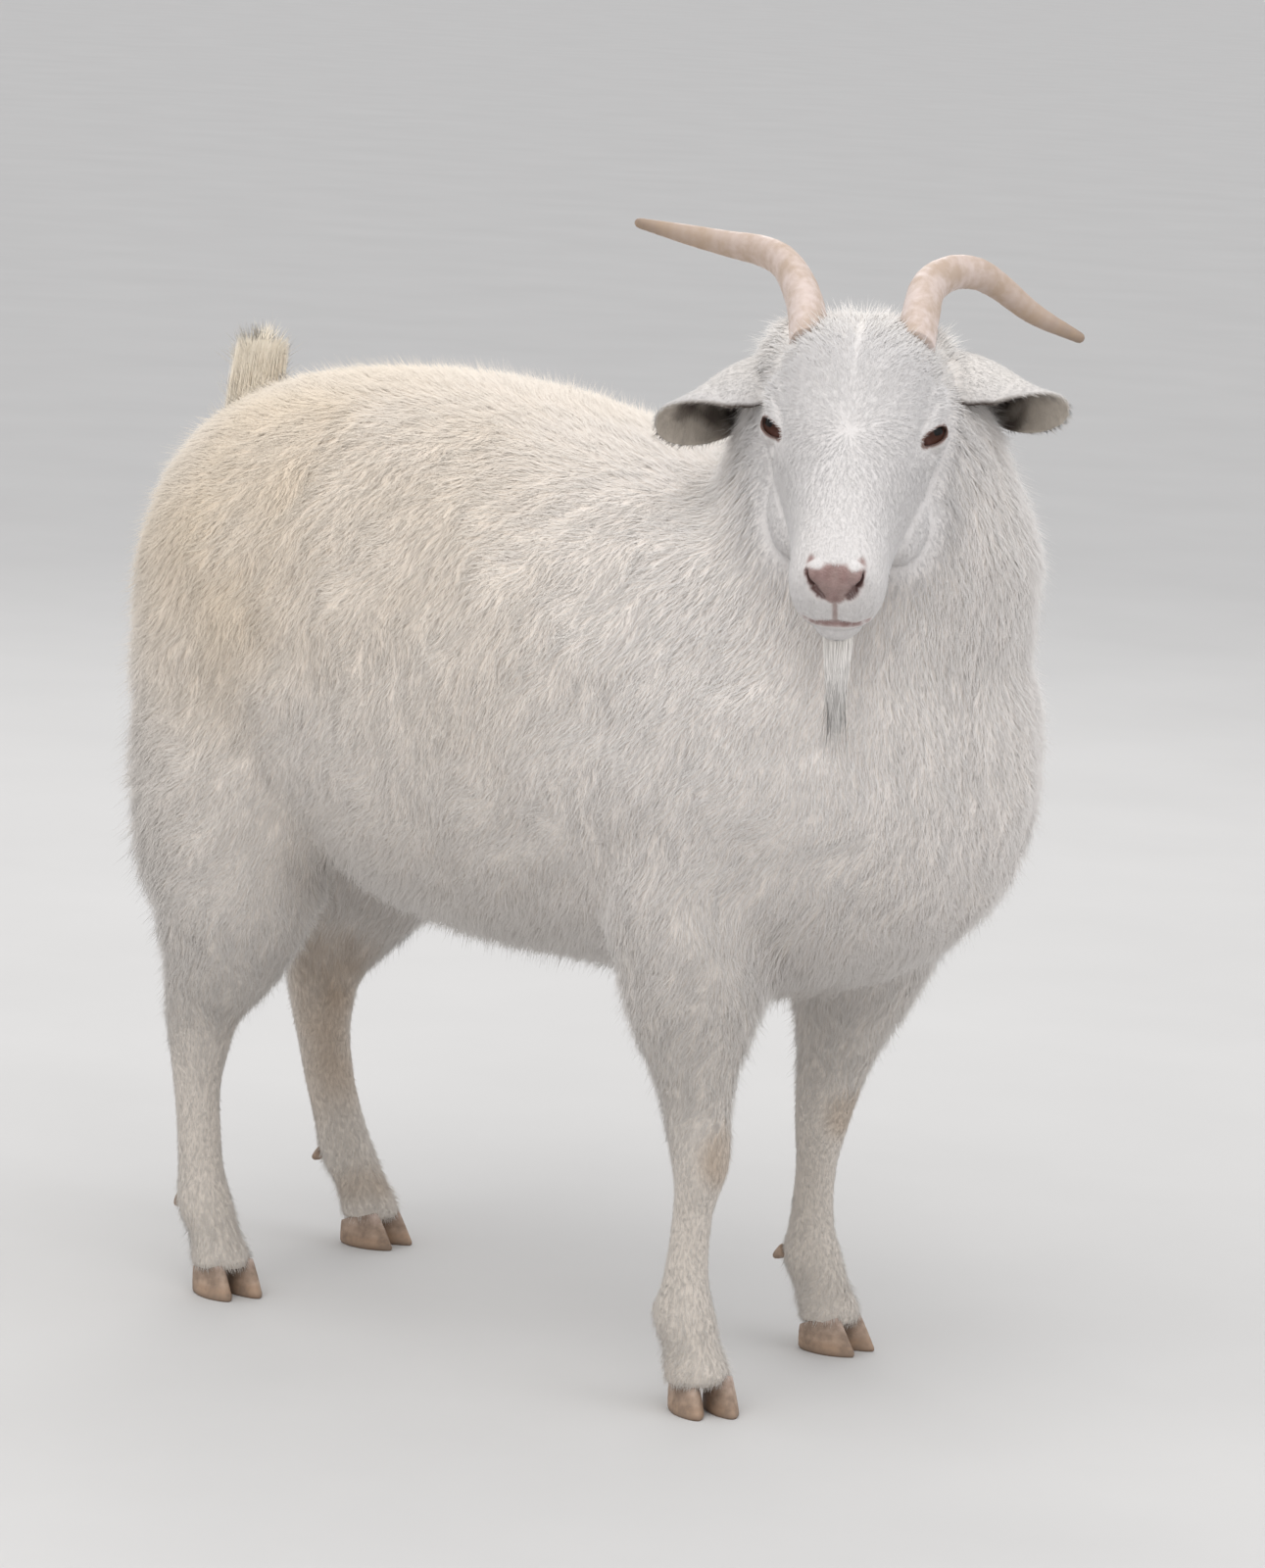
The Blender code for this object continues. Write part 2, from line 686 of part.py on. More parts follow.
def mirrored(point, side):
    return Vector((point[0], point[1] * side, point[2]))


def snapped_tube(tree, points, radius, sink=0.0):
    """A spindle that follows the head's surface, for cutting a groove."""
    path = []
    for point in smooth_curve(points, GROOVE_PARTS):
        place, normal, _, _ = tree.find_nearest(Vector(point))
        path.append(place - normal * sink)
    rings = []
    for i, place in enumerate(path):
        along = (path[min(i + 1, len(path) - 1)] - path[max(i - 1, 0)]).normalized()
        across = along.orthogonal().normalized()
        thick = radius * max(math.sin(math.pi * i / (len(path) - 1)), GROOVE_END)
        rings.append(oval(place, across * thick, along.cross(across) * thick, GROOVE_SIDES))
    return loft(rings)


def carve_grooves(head, tools):
    """The line of the mouth, the nostrils and the groove between them."""
    tree = BVHTree.FromPolygons([v.co for v in head.data.vertices], [p.vertices for p in head.data.polygons])
    lips = [mirrored(point, 1) for point in MOUTH] + [mirrored(point, -1) for point in reversed(MOUTH[:-1])]
    grooves = [snapped_tube(tree, lips, MOUTH_RADIUS), snapped_tube(tree, PHILTRUM, PHILTRUM_RADIUS)]
    for side in (1, -1):
        slit = [mirrored(point, side) for point in NOSTRIL]
        grooves.append(snapped_tube(tree, slit, NOSTRIL_RADIUS, NOSTRIL_SINK))
    for groove in grooves:
        cutter = add_object("groove", groove, tools)
        boolean(head, cutter, "DIFFERENCE")
        drop(cutter)


def turned_ball(centre, gaze, slit, halves):
    """An ellipsoid with half sizes along the gaze, along the slit and across both."""
    gaze = Vector(gaze).normalized()
    along = (Vector(slit) - Vector(slit).dot(gaze) * gaze).normalized()
    turn = Matrix((gaze, along, gaze.cross(along))).transposed().to_4x4()
    shape = ellipsoid((0, 0, 0), halves, EYE_SIDES)
    bmesh.ops.transform(shape, matrix=Matrix.Translation(centre) @ turn, verts=shape.verts)
    bmesh.ops.recalc_face_normals(shape, faces=shape.faces[:])
    return shape


def make_lids(head, side, tools):
    """Sinks a socket for the eyeball and leaves an upper and a lower lid over it."""
    centre = mirrored(EYE, side)
    gaze = mirrored(EYE_GAZE, side).normalized()
    slit = mirrored(EYE_SLIT, side)
    outer = EYE_RADIUS + GAP + LID_THICKNESS
    socket = EYE_RADIUS + GAP
    opening = (EYE_RADIUS, *LID_OPENING)
    fuse(head, [add_object("lid", turned_ball(centre, gaze, slit, (outer,) * 3), tools)])
    for place, halves in ((centre, (socket,) * 3), (centre + gaze * EYE_RADIUS, opening)):
        cutter = add_object("socket", turned_ball(place, gaze, slit, halves), tools)
        boolean(head, cutter, "DIFFERENCE")
        drop(cutter)


def make_head(home, tools):
    """Skull, cheeks, muzzle, lids, mouth and nostrils, in the head's own frame."""
    shapes = [upright_loft(SKULL, SKULL_SIDES, 3, 0.0, SKULL_SQUARE)]
    for x, y, z, *halves in SWELLINGS:
        for side in (1, -1):
            shapes.append(ellipsoid((x, y * side, z), halves, SWELLING_SIDES))
    head = add_object("head", heap_up(shapes), home)
    modify(head, "REMESH", mode="VOXEL", voxel_size=HEAD_VOXEL)
    modify(head, "SMOOTH", factor=0.5, iterations=HEAD_SMOOTHING)
    simplify(head, HEAD_TRIANGLES)
    carve_grooves(head, tools)
    for side in (1, -1):
        make_lids(head, side, tools)
    return keep_largest(head)


def make_eye(name, side, home):
    centre, gaze, slit = (mirrored(row, side) for row in (EYE, EYE_GAZE, EYE_SLIT))
    return add_object(name, turned_ball(centre, gaze, slit, (EYE_RADIUS,) * 3), home)


def make_horn(name, home):
    """A flattened tube along the horn's own curve, to a blunt tip."""
    rows = smooth_curve([(*point, radius) for point, radius in zip(HORNS[name], HORN_RADII)], 2)
    rings = []
    across = Vector((0, 0, 1))
    for i, (x, y, z, radius) in enumerate(rows):
        along = Vector(rows[min(i + 1, len(rows) - 1)][:3] - rows[max(i - 1, 0)][:3]).normalized()
        across = (across - across.dot(along) * along).normalized()
        up = along.cross(across) * HORN_FLATTENING
        rings.append(oval((x, y, z), across * radius, up * radius, HORN_SIDES))
    tip = Vector(rows[-1][:3]) + along * HORN_RADII[-1]
    rings.append([tip])
    return add_object(name, loft(rings), home)


def make_ear(name, home):
    """A leaf rolled round its ridge, its hollow side down and forward, tighter at the root."""
    down = hanging_down()
    forward = Vector((-down.z, 0, down.x))
    ridge = smooth_curve(EARS[name], 3)
    steps = len(ridge) - 1
    shape = bmesh.new()
    bmesh.ops.create_grid(shape, x_segments=steps, y_segments=EAR_FOLDS, size=1.0)
    for vert in shape.verts:
        t = (vert.co.x + 1) / 2
        i = round(t * steps)
        along = Vector(ridge[min(i + 1, steps)] - ridge[max(i - 1, 0)]).normalized()
        ahead, below = read_curve(EAR_FACING[name], t)
        hollow = forward * ahead + down * below
        hollow = (hollow - hollow.dot(along) * along).normalized()
        half = float(read_curve(EAR_WIDTHS, t)[0])
        curl = math.radians(float(read_curve(EAR_CURLS, t)[0]))
        bend = half / math.sin(curl) if curl < math.pi / 2 else half
        angle = vert.co.y * curl
        side = along.cross(hollow)
        vert.co = Vector(ridge[i]) + side * bend * math.sin(angle) + hollow * bend * (1 - math.cos(angle))
    ear = add_object(name, shape, home)
    return modify(ear, "SOLIDIFY", thickness=EAR_THICKNESS, offset=0.0)


def foot_frame(foot):
    x, y, yaw = FEET[foot]
    return Matrix.Translation((x, y, 0)) @ Matrix.Rotation(math.radians(yaw), 4, "Z")


def make_claw(name, foot, side, home):
    """One half of a cloven hoof: flat sole, straight inner wall, raked toe and a lower heel."""
    rings = []
    for t in (0.0, 0.45, 1.0):
        shrink = 1 - CLAW_SHRINK * t
        length, width = CLAW_LENGTH / 2 * shrink, CLAW_WIDTH / 2 * shrink
        ring = []
        for x, y, _ in oval((0, 0, 0), (1, 0, 0), (0, 1, 0), CLAW_SIDES):
            heel = CLAW_HEEL_DROP * t * (1 - x) / 2
            across = y * width * (1 - CLAW_TOE_TAPER * max(x, 0) ** 2)
            if y < 0:
                across *= CLAW_INNER
            height = t * (CORONET - GAP) * (1 - heel)
            ring.append((x * length - CLAW_RAKE * t, side * (CLAW_SPREAD + across), height))
        rings.append(ring)
    claw = loft(rings)
    bmesh.ops.transform(claw, matrix=foot_frame(foot), verts=claw.verts)
    return add_object(name, claw, home)


def make_dewclaw(name, foot, side, home):
    """A small blunt horn behind the fetlock."""
    radius, length = DEWCLAW
    shape = bmesh.new()
    bmesh.ops.create_cone(
        shape, cap_ends=True, segments=DEWCLAW_SIDES, radius1=radius, radius2=radius * 0.45, depth=length
    )
    x, y, z, deep, _ = LEGS[foot][FETLOCK]
    turn = Matrix.Rotation(math.radians(FEET[foot][2]), 4, "Z")
    tilt = Matrix.Rotation(math.radians(DEWCLAW_TILT), 4, "Y")
    behind = Matrix.Translation((DEWCLAW_SINK - deep, side * DEWCLAW_SPREAD, 0))
    bmesh.ops.transform(shape, matrix=Matrix.Translation((x, y, z)) @ turn @ behind @ tilt, verts=shape.verts)
    return add_object(name, shape, home)


def strand(root, way, across, half, thick):
    """A tapered lock that hangs or stands free: flat, widest a third of the way along."""
    deep = way.cross(across).normalized()
    rings = []
    for t, wide in STRAND_PROFILE:
        bow = deep * way.length * STRAND_BOW * math.sin(math.pi * t)
        rings.append(oval(root + way * t + bow, across * half * wide, deep * thick * wide, STRAND_SIDES))
    rings.append([root + way])
    return loft(rings)


def make_tail(home):
    """The upright brush: a short core, and locks round it that rise to a blunt top."""
    tail = add_object("tail", level_loft(TAIL_CORE, TAIL_SIDES, 2, lambda z: 0.0), home)
    draw = random.Random(SEED)
    locks = []
    for i in range(TAIL_LOCKS):
        angle = 2 * math.pi * i / TAIL_LOCKS
        out = Vector((math.cos(angle), math.sin(angle), 0))
        root = Vector(TAIL_ROOT) + out * TAIL_RADIUS
        top = Vector(TAIL_TOP) + out * TAIL_RADIUS * draw.uniform(*TAIL_FLARE)
        top.z -= draw.uniform(0, TAIL_RAGGED)
        across = (top - root).cross(out).normalized()
        locks.append(add_object("lock", strand(root, top - root, across, *TAIL_HALVES), home))
    fuse(tail, locks)
    return keep_largest(tail)


def make_beard(home):
    """The tuft of the chin, which hangs straight down in a few strands."""
    down = hanging_down()
    strands = []
    for side, length, lean in BEARD_STRANDS:
        root = Vector(BEARD_ROOT) + Vector((0, side, 0)) - down * BEARD_SINK
        way = (down + Vector((0, lean, 0))).normalized()
        shape = strand(root, way * length, Vector((0, 1, 0)), *BEARD_HALVES)
        strands.append(add_object("beard", shape, home))
    beard = strands.pop(0)
    fuse(beard, strands)
    return beard


def half_space(point, normal, tools):
    """A block that fills everything on the normal's side of a plane, half a gap from it."""
    size = 2.0
    shape = bmesh.new()
    bmesh.ops.create_cube(shape, size=size)
    turn = Vector(normal).to_track_quat("Z", "Y").to_matrix().to_4x4()
    lift = Matrix.Translation((0, 0, size / 2 + GAP / 2))
    bmesh.ops.transform(shape, matrix=Matrix.Translation(point) @ turn @ lift, verts=shape.verts)
    return add_object("half", shape, tools)


def part_off(obj, point, normal, name, home, tools):
    """Takes what lies on the normal's side of a plane off an object, as an object of its own."""
    taken = duplicate(obj, name, home)
    for piece, way in ((taken, 1), (obj, -1)):
        block = half_space(point, Vector(normal) * way, tools)
        boolean(piece, block, "INTERSECT")
        drop(block)
    return taken


def one_side(obj, side):
    """Keeps the surfaces of an object that lie on one side of the goat's middle."""
    shape = bmesh.new()
    shape.from_mesh(obj.data)
    others = []
    for island in islands(shape):
        if side * np.mean([face.calc_center_median().y for face in island]) < 0:
            others.extend(island)
    bmesh.ops.delete(shape, geom=others, context="FACES")
    shape.to_mesh(obj.data)
    shape.free()
    return keep_largest(obj)


def part_legs(quarter, end, home, tools):
    """Takes the two legs off the fore or hind quarters with a level cut, down to the coronet."""
    left = part_off(quarter, (0, 0, LEG_CUTS[end]), (0, 0, -1), f"leg_{end}_l", home, tools)
    ground = half_space((0, 0, CORONET), (0, 0, 1), tools)
    boolean(left, ground, "INTERSECT")
    drop(ground)
    right = duplicate(left, f"leg_{end}_r", home)
    return {f"{end}_l": one_side(left, 1), f"{end}_r": one_side(right, -1)}


def part_body(body, home, tools):
    """Neck, forequarters, barrel, hindquarters and legs, parted by thin cuts."""
    neck = part_off(body, *NECK_CUT, "neck", home, tools)
    fore = part_off(body, (SHOULDER_CUT, 0, 0), (1, 0, 0), "forequarters", home, tools)
    hind = part_off(body, (LOIN_CUT, 0, 0), (-1, 0, 0), "hindquarters", home, tools)
    body.name = "barrel"
    legs = {**part_legs(fore, "fore", home, tools), **part_legs(hind, "hind", home, tools)}
    for piece in (neck, fore, hind, body, *legs.values()):
        mend(piece)
    return [neck, fore, body], hind, legs


def finish(obj, slot):
    """Triangles, one material, and smooth shading with the real edges kept."""
    mend(obj)
    mesh = obj.data
    mesh.materials.clear()
    mesh.materials.append(material(slot))
    mesh.polygons.foreach_set("material_index", np.zeros(len(mesh.polygons), np.int32))
    mesh.shade_smooth()
    mesh.set_sharp_from_angle(angle=math.radians(SHARP_ANGLE))


def set_down(objects):
    """Moves all objects so that the middle of their box stands over the origin."""
    corners = np.array([vert.co for obj in objects for vert in obj.data.vertices])
    middle = (corners.max(0) + corners.min(0)) / 2
    shift = Matrix.Translation((-middle[0], -middle[1], 0))
    for obj in objects:
        obj.data.transform(shift)


def main():
    clear_scene()
    goat = collection("cashmere_goat")
    tools = collection("tools", hidden=True)
    made = {}

    head = make_head(goat, tools)
    made["face"] = [head]
    made["eye"] = [make_eye(name, side, goat) for name, side in (("eye_l", 1), ("eye_r", -1))]
    made["horn"] = [clear_of(make_horn(name, goat), head, tools) for name in HORNS]
    made["ear"] = [clear_of(make_ear(name, goat), head, tools) for name in EARS]
    made["beard"] = [clear_of(make_beard(goat), head, tools)]
    turn = head_frame()
    for pieces in made.values():
        for piece in pieces:
            piece.data.transform(turn)

    body = make_core(goat)
    grow_locks(body, goat)
    for piece in (head, *made["horn"], *made["beard"]):
        clear_of(body, piece, tools)
    for ear in made["ear"]:
        clear_of(body, ear, tools, COAT_ROOM)
    front, hind, legs = part_body(body, goat, tools)
    made["coat"] = [*front, hind, *legs.values()]
    made["tail"] = [clear_of(make_tail(goat), hind, tools, COAT_ROOM)]
    made["hoof"] = []
    for foot, leg in legs.items():
        for side, place in ((1, "left"), (-1, "right")):
            made["hoof"].append(make_claw(f"claw_{foot}_{place}", foot, side, goat))
            dewclaw = make_dewclaw(f"dewclaw_{foot}_{place}", foot, side, goat)
            made["hoof"].append(clear_of(dewclaw, leg, tools))

    for slot, pieces in made.items():
        for piece in pieces:
            finish(piece, slot)
    set_down([piece for pieces in made.values() for piece in pieces])
    bpy.data.collections.remove(tools)


main()
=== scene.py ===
import math

import bmesh
import bpy
import numpy as np
from mathutils import Matrix, Vector
from mathutils.bvhtree import BVHTree
from mathutils.kdtree import KDTree


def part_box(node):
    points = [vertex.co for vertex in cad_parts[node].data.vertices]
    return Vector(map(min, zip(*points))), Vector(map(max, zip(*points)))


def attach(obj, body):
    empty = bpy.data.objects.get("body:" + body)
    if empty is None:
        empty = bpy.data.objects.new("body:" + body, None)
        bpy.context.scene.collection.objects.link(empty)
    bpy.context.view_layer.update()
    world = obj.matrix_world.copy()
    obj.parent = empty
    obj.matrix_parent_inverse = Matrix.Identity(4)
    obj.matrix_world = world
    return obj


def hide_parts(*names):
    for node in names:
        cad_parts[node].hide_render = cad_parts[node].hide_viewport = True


# A cashmere doe, life size: one skin under a deep white coat of fine tufts, with horns, hooves and
# eyes of their own. She is modelled in her own frame, +X forward, +Y to her left, +Z up, with the
# middle of her four feet at the origin, and moved to the frame of the solids at the end.

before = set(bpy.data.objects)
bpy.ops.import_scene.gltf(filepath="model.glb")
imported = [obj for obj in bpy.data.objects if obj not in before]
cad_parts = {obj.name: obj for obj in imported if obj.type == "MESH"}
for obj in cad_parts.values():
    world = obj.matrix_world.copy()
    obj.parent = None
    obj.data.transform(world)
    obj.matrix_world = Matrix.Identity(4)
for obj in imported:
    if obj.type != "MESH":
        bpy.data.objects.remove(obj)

SEED = 11

# Outline of the coat, rump to chest: x, top, bottom, half width
TRUNK = (
    (-0.350, 0.560, 0.460, 0.045),
    (-0.330, 0.622, 0.395, 0.096),
    (-0.298, 0.667, 0.358, 0.138),
    (-0.235, 0.695, 0.346, 0.163),
    (-0.150, 0.707, 0.326, 0.176),
    (-0.050, 0.706, 0.297, 0.184),
    (0.060, 0.689, 0.292, 0.184),
    (0.160, 0.674, 0.290, 0.180),
    (0.250, 0.655, 0.292, 0.174),
    (0.316, 0.620, 0.312, 0.155),
    (0.362, 0.570, 0.348, 0.116),
    (0.383, 0.515, 0.396, 0.066),
)
TRUNK_SQUARE = 0.90  # under 1 fills out the corners of a section

# Level sections of the neck and limbs: x, y, z, half depth, half width
NECK = (
    (0.200, 0.004, 0.470, 0.155, 0.155),
    (0.244, 0.008, 0.545, 0.150, 0.146),
    (0.270, 0.006, 0.610, 0.134, 0.130),
    (0.284, -0.006, 0.665, 0.110, 0.108),
    (0.287, -0.018, 0.710, 0.092, 0.092),
    (0.280, -0.026, 0.750, 0.074, 0.074),
    (0.276, -0.028, 0.775, 0.052, 0.052),
)
LEGS = {
    "fore_r": (
        (0.230, -0.100, 0.480, 0.090, 0.070),
        (0.228, -0.108, 0.380, 0.078, 0.064),
        (0.226, -0.110, 0.310, 0.062, 0.055),
        (0.228, -0.110, 0.270, 0.047, 0.044),
        (0.234, -0.110, 0.225, 0.031, 0.029),
        (0.240, -0.110, 0.183, 0.0255, 0.0245),
        (0.240, -0.110, 0.165, 0.0215, 0.0210),
        (0.236, -0.110, 0.142, 0.0180, 0.0175),
        (0.233, -0.110, 0.112, 0.0182, 0.0175),
        (0.232, -0.110, 0.088, 0.0205, 0.0195),
        (0.232, -0.110, 0.066, 0.0265, 0.0245),
        (0.240, -0.110, 0.046, 0.0230, 0.0240),
        (0.246, -0.110, 0.030, 0.0250, 0.0275),
        (0.246, -0.110, 0.020, 0.0250, 0.0275),
    ),
    "fore_l": (
        (0.225, 0.100, 0.480, 0.090, 0.070),
        (0.218, 0.108, 0.380, 0.080, 0.066),
        (0.212, 0.110, 0.310, 0.064, 0.058),
        (0.206, 0.110, 0.270, 0.052, 0.048),
        (0.194, 0.110, 0.225, 0.035, 0.033),
        (0.185, 0.110, 0.183, 0.0265, 0.0255),
        (0.182, 0.110, 0.160, 0.0225, 0.0220),
        (0.180, 0.110, 0.138, 0.0190, 0.0185),
        (0.178, 0.110, 0.112, 0.0185, 0.0180),
        (0.178, 0.110, 0.088, 0.0205, 0.0195),
        (0.180, 0.110, 0.066, 0.0260, 0.0240),
        (0.190, 0.110, 0.046, 0.0230, 0.0240),
        (0.198, 0.110, 0.030, 0.0250, 0.0265),
        (0.198, 0.110, 0.020, 0.0250, 0.0265),
    ),
    "hind_r": (
        (-0.228, -0.086, 0.540, 0.095, 0.078),
        (-0.220, -0.098, 0.430, 0.095, 0.074),
        (-0.216, -0.106, 0.345, 0.084, 0.066),
        (-0.212, -0.108, 0.285, 0.065, 0.057),
        (-0.226, -0.107, 0.243, 0.049, 0.043),
        (-0.243, -0.106, 0.210, 0.0345, 0.0290),
        (-0.246, -0.106, 0.185, 0.0280, 0.0245),
        (-0.247, -0.106, 0.158, 0.0225, 0.0205),
        (-0.244, -0.106, 0.125, 0.0205, 0.0190),
        (-0.240, -0.106, 0.092, 0.0210, 0.0195),
        (-0.234, -0.106, 0.064, 0.0250, 0.0235),
        (-0.224, -0.106, 0.045, 0.0215, 0.0225),
        (-0.217, -0.106, 0.030, 0.0240, 0.0260),
        (-0.217, -0.106, 0.020, 0.0240, 0.0260),
    ),
    "hind_l": (
        (-0.235, 0.086, 0.540, 0.095, 0.078),
        (-0.236, 0.098, 0.430, 0.098, 0.074),
        (-0.246, 0.106, 0.345, 0.088, 0.068),
        (-0.262, 0.108, 0.285, 0.070, 0.060),
        (-0.288, 0.107, 0.243, 0.052, 0.046),
        (-0.308, 0.106, 0.210, 0.0375, 0.0310),
        (-0.311, 0.106, 0.185, 0.0310, 0.0265),
        (-0.308, 0.106, 0.158, 0.0260, 0.0230),
        (-0.300, 0.106, 0.125, 0.0240, 0.0215),
        (-0.288, 0.106, 0.092, 0.0240, 0.0215),
        (-0.276, 0.106, 0.064, 0.0265, 0.0240),
        (-0.262, 0.106, 0.045, 0.0230, 0.0230),
        (-0.253, 0.106, 0.030, 0.0245, 0.0260),
        (-0.253, 0.106, 0.020, 0.0245, 0.0260),
    ),
}
FETLOCK = -4  # the station of each leg at its fetlock

# Feet: middle of the sole and the way the toes point, in degrees from +X
FEET = {
    "fore_r": (0.254, -0.110, -32.0),
    "fore_l": (0.207, 0.110, 2.0),
    "hind_r": (-0.208, -0.106, -18.0),
    "hind_l": (-0.244, 0.106, 4.0),
}
CORONET = 0.028  # height at which hair ends and horn begins
CLAW_LENGTH = 0.050
CLAW_WIDTH = 0.0230
CLAW_SPREAD = 0.0130  # from the middle of the foot to the middle of a claw
CLAW_RAKE = 0.012  # how far the toe stands before the coronet
CLAW_SHRINK = 0.16  # how much smaller the claw is at the coronet
CLAW_TOE_TAPER = 0.30
CLAW_HEEL_DROP = 0.36  # how much lower the heel is than the toe
CLAW_INNER = 0.96  # how full the wall between the claws is
CLAW_SIDES = 32
DEWCLAW = (0.0054, 0.012)  # radius and length
DEWCLAW_TILT = -125.0
DEWCLAW_SPREAD = 0.0115
DEWCLAW_SINK = 0.004
DEWCLAW_SIDES = 16

# Head frame: x to the nose, y to her left, z out of the brow, from the crown between the horns
CROWN = (0.3015, -0.048, 0.7844)
HEAD_YAW = -57.0
HEAD_PITCH = -38.0
SKULL = (  # x, top, bottom, half width, on the short hair of the head
    (-0.048, -0.058, -0.098, 0.026),
    (-0.034, -0.036, -0.112, 0.048),
    (-0.010, -0.008, -0.122, 0.0590),
    (0.015, 0.011, -0.126, 0.0630),
    (0.045, 0.020, -0.127, 0.0630),
    (0.075, 0.021, -0.124, 0.0605),
    (0.105, 0.014, -0.117, 0.0560),
    (0.135, 0.006, -0.107, 0.0475),
    (0.165, -0.001, -0.097, 0.0395),
    (0.195, -0.006, -0.091, 0.0350),
    (0.218, -0.011, -0.086, 0.0345),
    (0.234, -0.017, -0.080, 0.0300),
    (0.243, -0.028, -0.068, 0.0190),
)
SKULL_SQUARE = 0.86
SKULL_SIDES = 56
SWELLING_SIDES = 32
SWELLINGS = (  # ellipsoids on both sides of the head: x, y, z, then the three half sizes
    (0.000, 0.0430, -0.052, 0.028, 0.0235, 0.028),  # hair over the root of the ear
    (0.072, 0.0425, -0.024, 0.036, 0.0205, 0.016),  # brow
    (0.082, 0.0420, -0.048, 0.036, 0.0200, 0.018),  # under the eye
    (0.050, 0.0355, -0.082, 0.058, 0.0345, 0.038),  # cheek
    (0.106, 0.0335, -0.086, 0.052, 0.0265, 0.029),  # jaw muscle
    (0.226, 0.0150, -0.048, 0.018, 0.0175, 0.016),  # upper lip
    (0.234, 0.0130, -0.026, 0.011, 0.0110, 0.012),  # wing of the nostril
    (0.217, 0.0000, -0.081, 0.023, 0.0205, 0.016),  # chin
)
EYE = (0.0835, 0.0490, -0.0350)  # middle of her left eyeball
EYE_RADIUS = 0.0135
EYE_GAZE = (0.62, 0.60, 0.52)
EYE_SLIT = (0.66, -0.74, 0.10)  # from the back corner of the lids to the front one
GAP = 0.0003
LID_SHIFT = 0.0022  # of the opening, to its front corner
LID_THICKNESS = 0.0022
LID_OPENING = (0.0140, 0.0054)  # half length and half height
MOUTH = ((0.196, 0.036, -0.055), (0.222, 0.027, -0.062), (0.240, 0.012, -0.066), (0.246, 0.0, -0.064))
NOSTRIL = ((0.2385, 0.0172, -0.0268), (0.78, 0.60, 0.08), (-0.16, 0.52, 0.80))  # middle, way out, slit
NOSTRIL_HALVES = (0.0090, 0.0055, 0.0012)  # depth, half length, half height
NOSTRIL_LINE = (
    (0.2370, 0.0208, -0.0218),
    (0.2410, 0.0190, -0.0262),
    (0.2440, 0.0150, -0.0312),
    (0.2455, 0.0092, -0.0385),
)
PHILTRUM = ((0.247, 0.0, -0.040), (0.247, 0.0, -0.054), (0.246, 0.0, -0.064))

HORNS = {  # points from the skull to the tip, in the head frame
    "horn_r": (
        (0.022, -0.037, -0.014),
        (-0.007, -0.0405, -0.010),
        (-0.035, -0.049, -0.009),
        (-0.057, -0.061, -0.009),
        (-0.071, -0.078, -0.012),
        (-0.082, -0.102, -0.017),
        (-0.094, -0.132, -0.021),
        (-0.107, -0.168, -0.024),
    ),
    "horn_l": (
        (0.020, 0.037, -0.014),
        (-0.013, 0.0385, -0.011),
        (-0.041, 0.042, -0.012),
        (-0.061, 0.056, -0.016),
        (-0.071, 0.073, -0.024),
        (-0.075, 0.089, -0.038),
        (-0.074, 0.115, -0.062),
        (-0.074, 0.147, -0.082),
    ),
}
HORN_RADII = (0.0165, 0.0162, 0.0150, 0.0132, 0.0118, 0.0100, 0.0078, 0.0042)
HORN_SIDES = 30
HORN_FLATTENING = 0.82

EARS = {  # the ridge of each ear from its root to its tip, in the head frame
    "ear_r": (
        (-0.010, -0.046, -0.046),
        (0.004, -0.076, -0.045),
        (0.020, -0.107, -0.057),
        (0.048, -0.138, -0.085),
    ),
    "ear_l": (
        (-0.014, 0.046, -0.048),
        (-0.008, 0.076, -0.044),
        (0.004, 0.108, -0.052),
        (0.024, 0.143, -0.070),
    ),
}
EAR_WIDTHS = (0.024, 0.034, 0.038, 0.036, 0.030)  # half widths, root to tip
EAR_CURLS = (82.0, 88.0, 82.0, 62.0, 36.0)  # degrees from the ridge to each rim
EAR_THICKNESS = 0.0026
EAR_FACING = {  # how the hollow side faces forward and down, root to tip
    "ear_r": ((0.20, 0.98), (0.04, 1.00), (0.14, 0.99), (0.70, 0.70)),
    "ear_l": ((0.20, 0.98), (0.04, 1.00), (0.14, 0.99), (0.75, 0.66)),
}
EAR_FRONT = {"ear_r": -1, "ear_l": 1}
EAR_BACK = 1.16  # how much longer the half behind the ridge is

TAIL_CORE = (
    (-0.322, 0.0, 0.585, 0.024, 0.028),
    (-0.318, 0.0, 0.625, 0.020, 0.022),
    (-0.308, 0.0, 0.668, 0.015, 0.016),
    (-0.302, 0.0, 0.709, 0.020, 0.021),
)

# The skin under the coat: how far it lies under the outline, by height
SKIN_DEPTH = ((0.00, 0.0022), (0.17, 0.0035), (0.22, 0.0045), (0.27, 0.0058), (0.34, 0.0064))
HEAD_DEPTH = ((-0.048, 0.0070), (0.000, 0.0070), (0.045, 0.0045), (0.105, 0.0025), (0.243, 0.0012))
TAIL_DEPTH = 0.004
FLUFF = ((0.0023, 0.034, 12), (0.0013, 0.017, 13))  # height, size, seed
SWELLING_DEPTH = 0.0020
BODY_VOXEL = 0.0056
BODY_SMOOTHING = 24
LEG_SMOOTHING = 3
BREAST = ((0.300, 0.030, 0.545), 0.150)  # where neck and trunk meet
BREAST_SMOOTHING = 60
SMOOTH_BAND = (0.20, 0.32)  # heights between which the smoothing of the body fades out
HEAD_VOXEL = 0.0016
HEAD_SMOOTHING = 11
JOIN_SMOOTHING = 18
RIM_SMOOTHING = 4
HEAD_REACH = 0.36
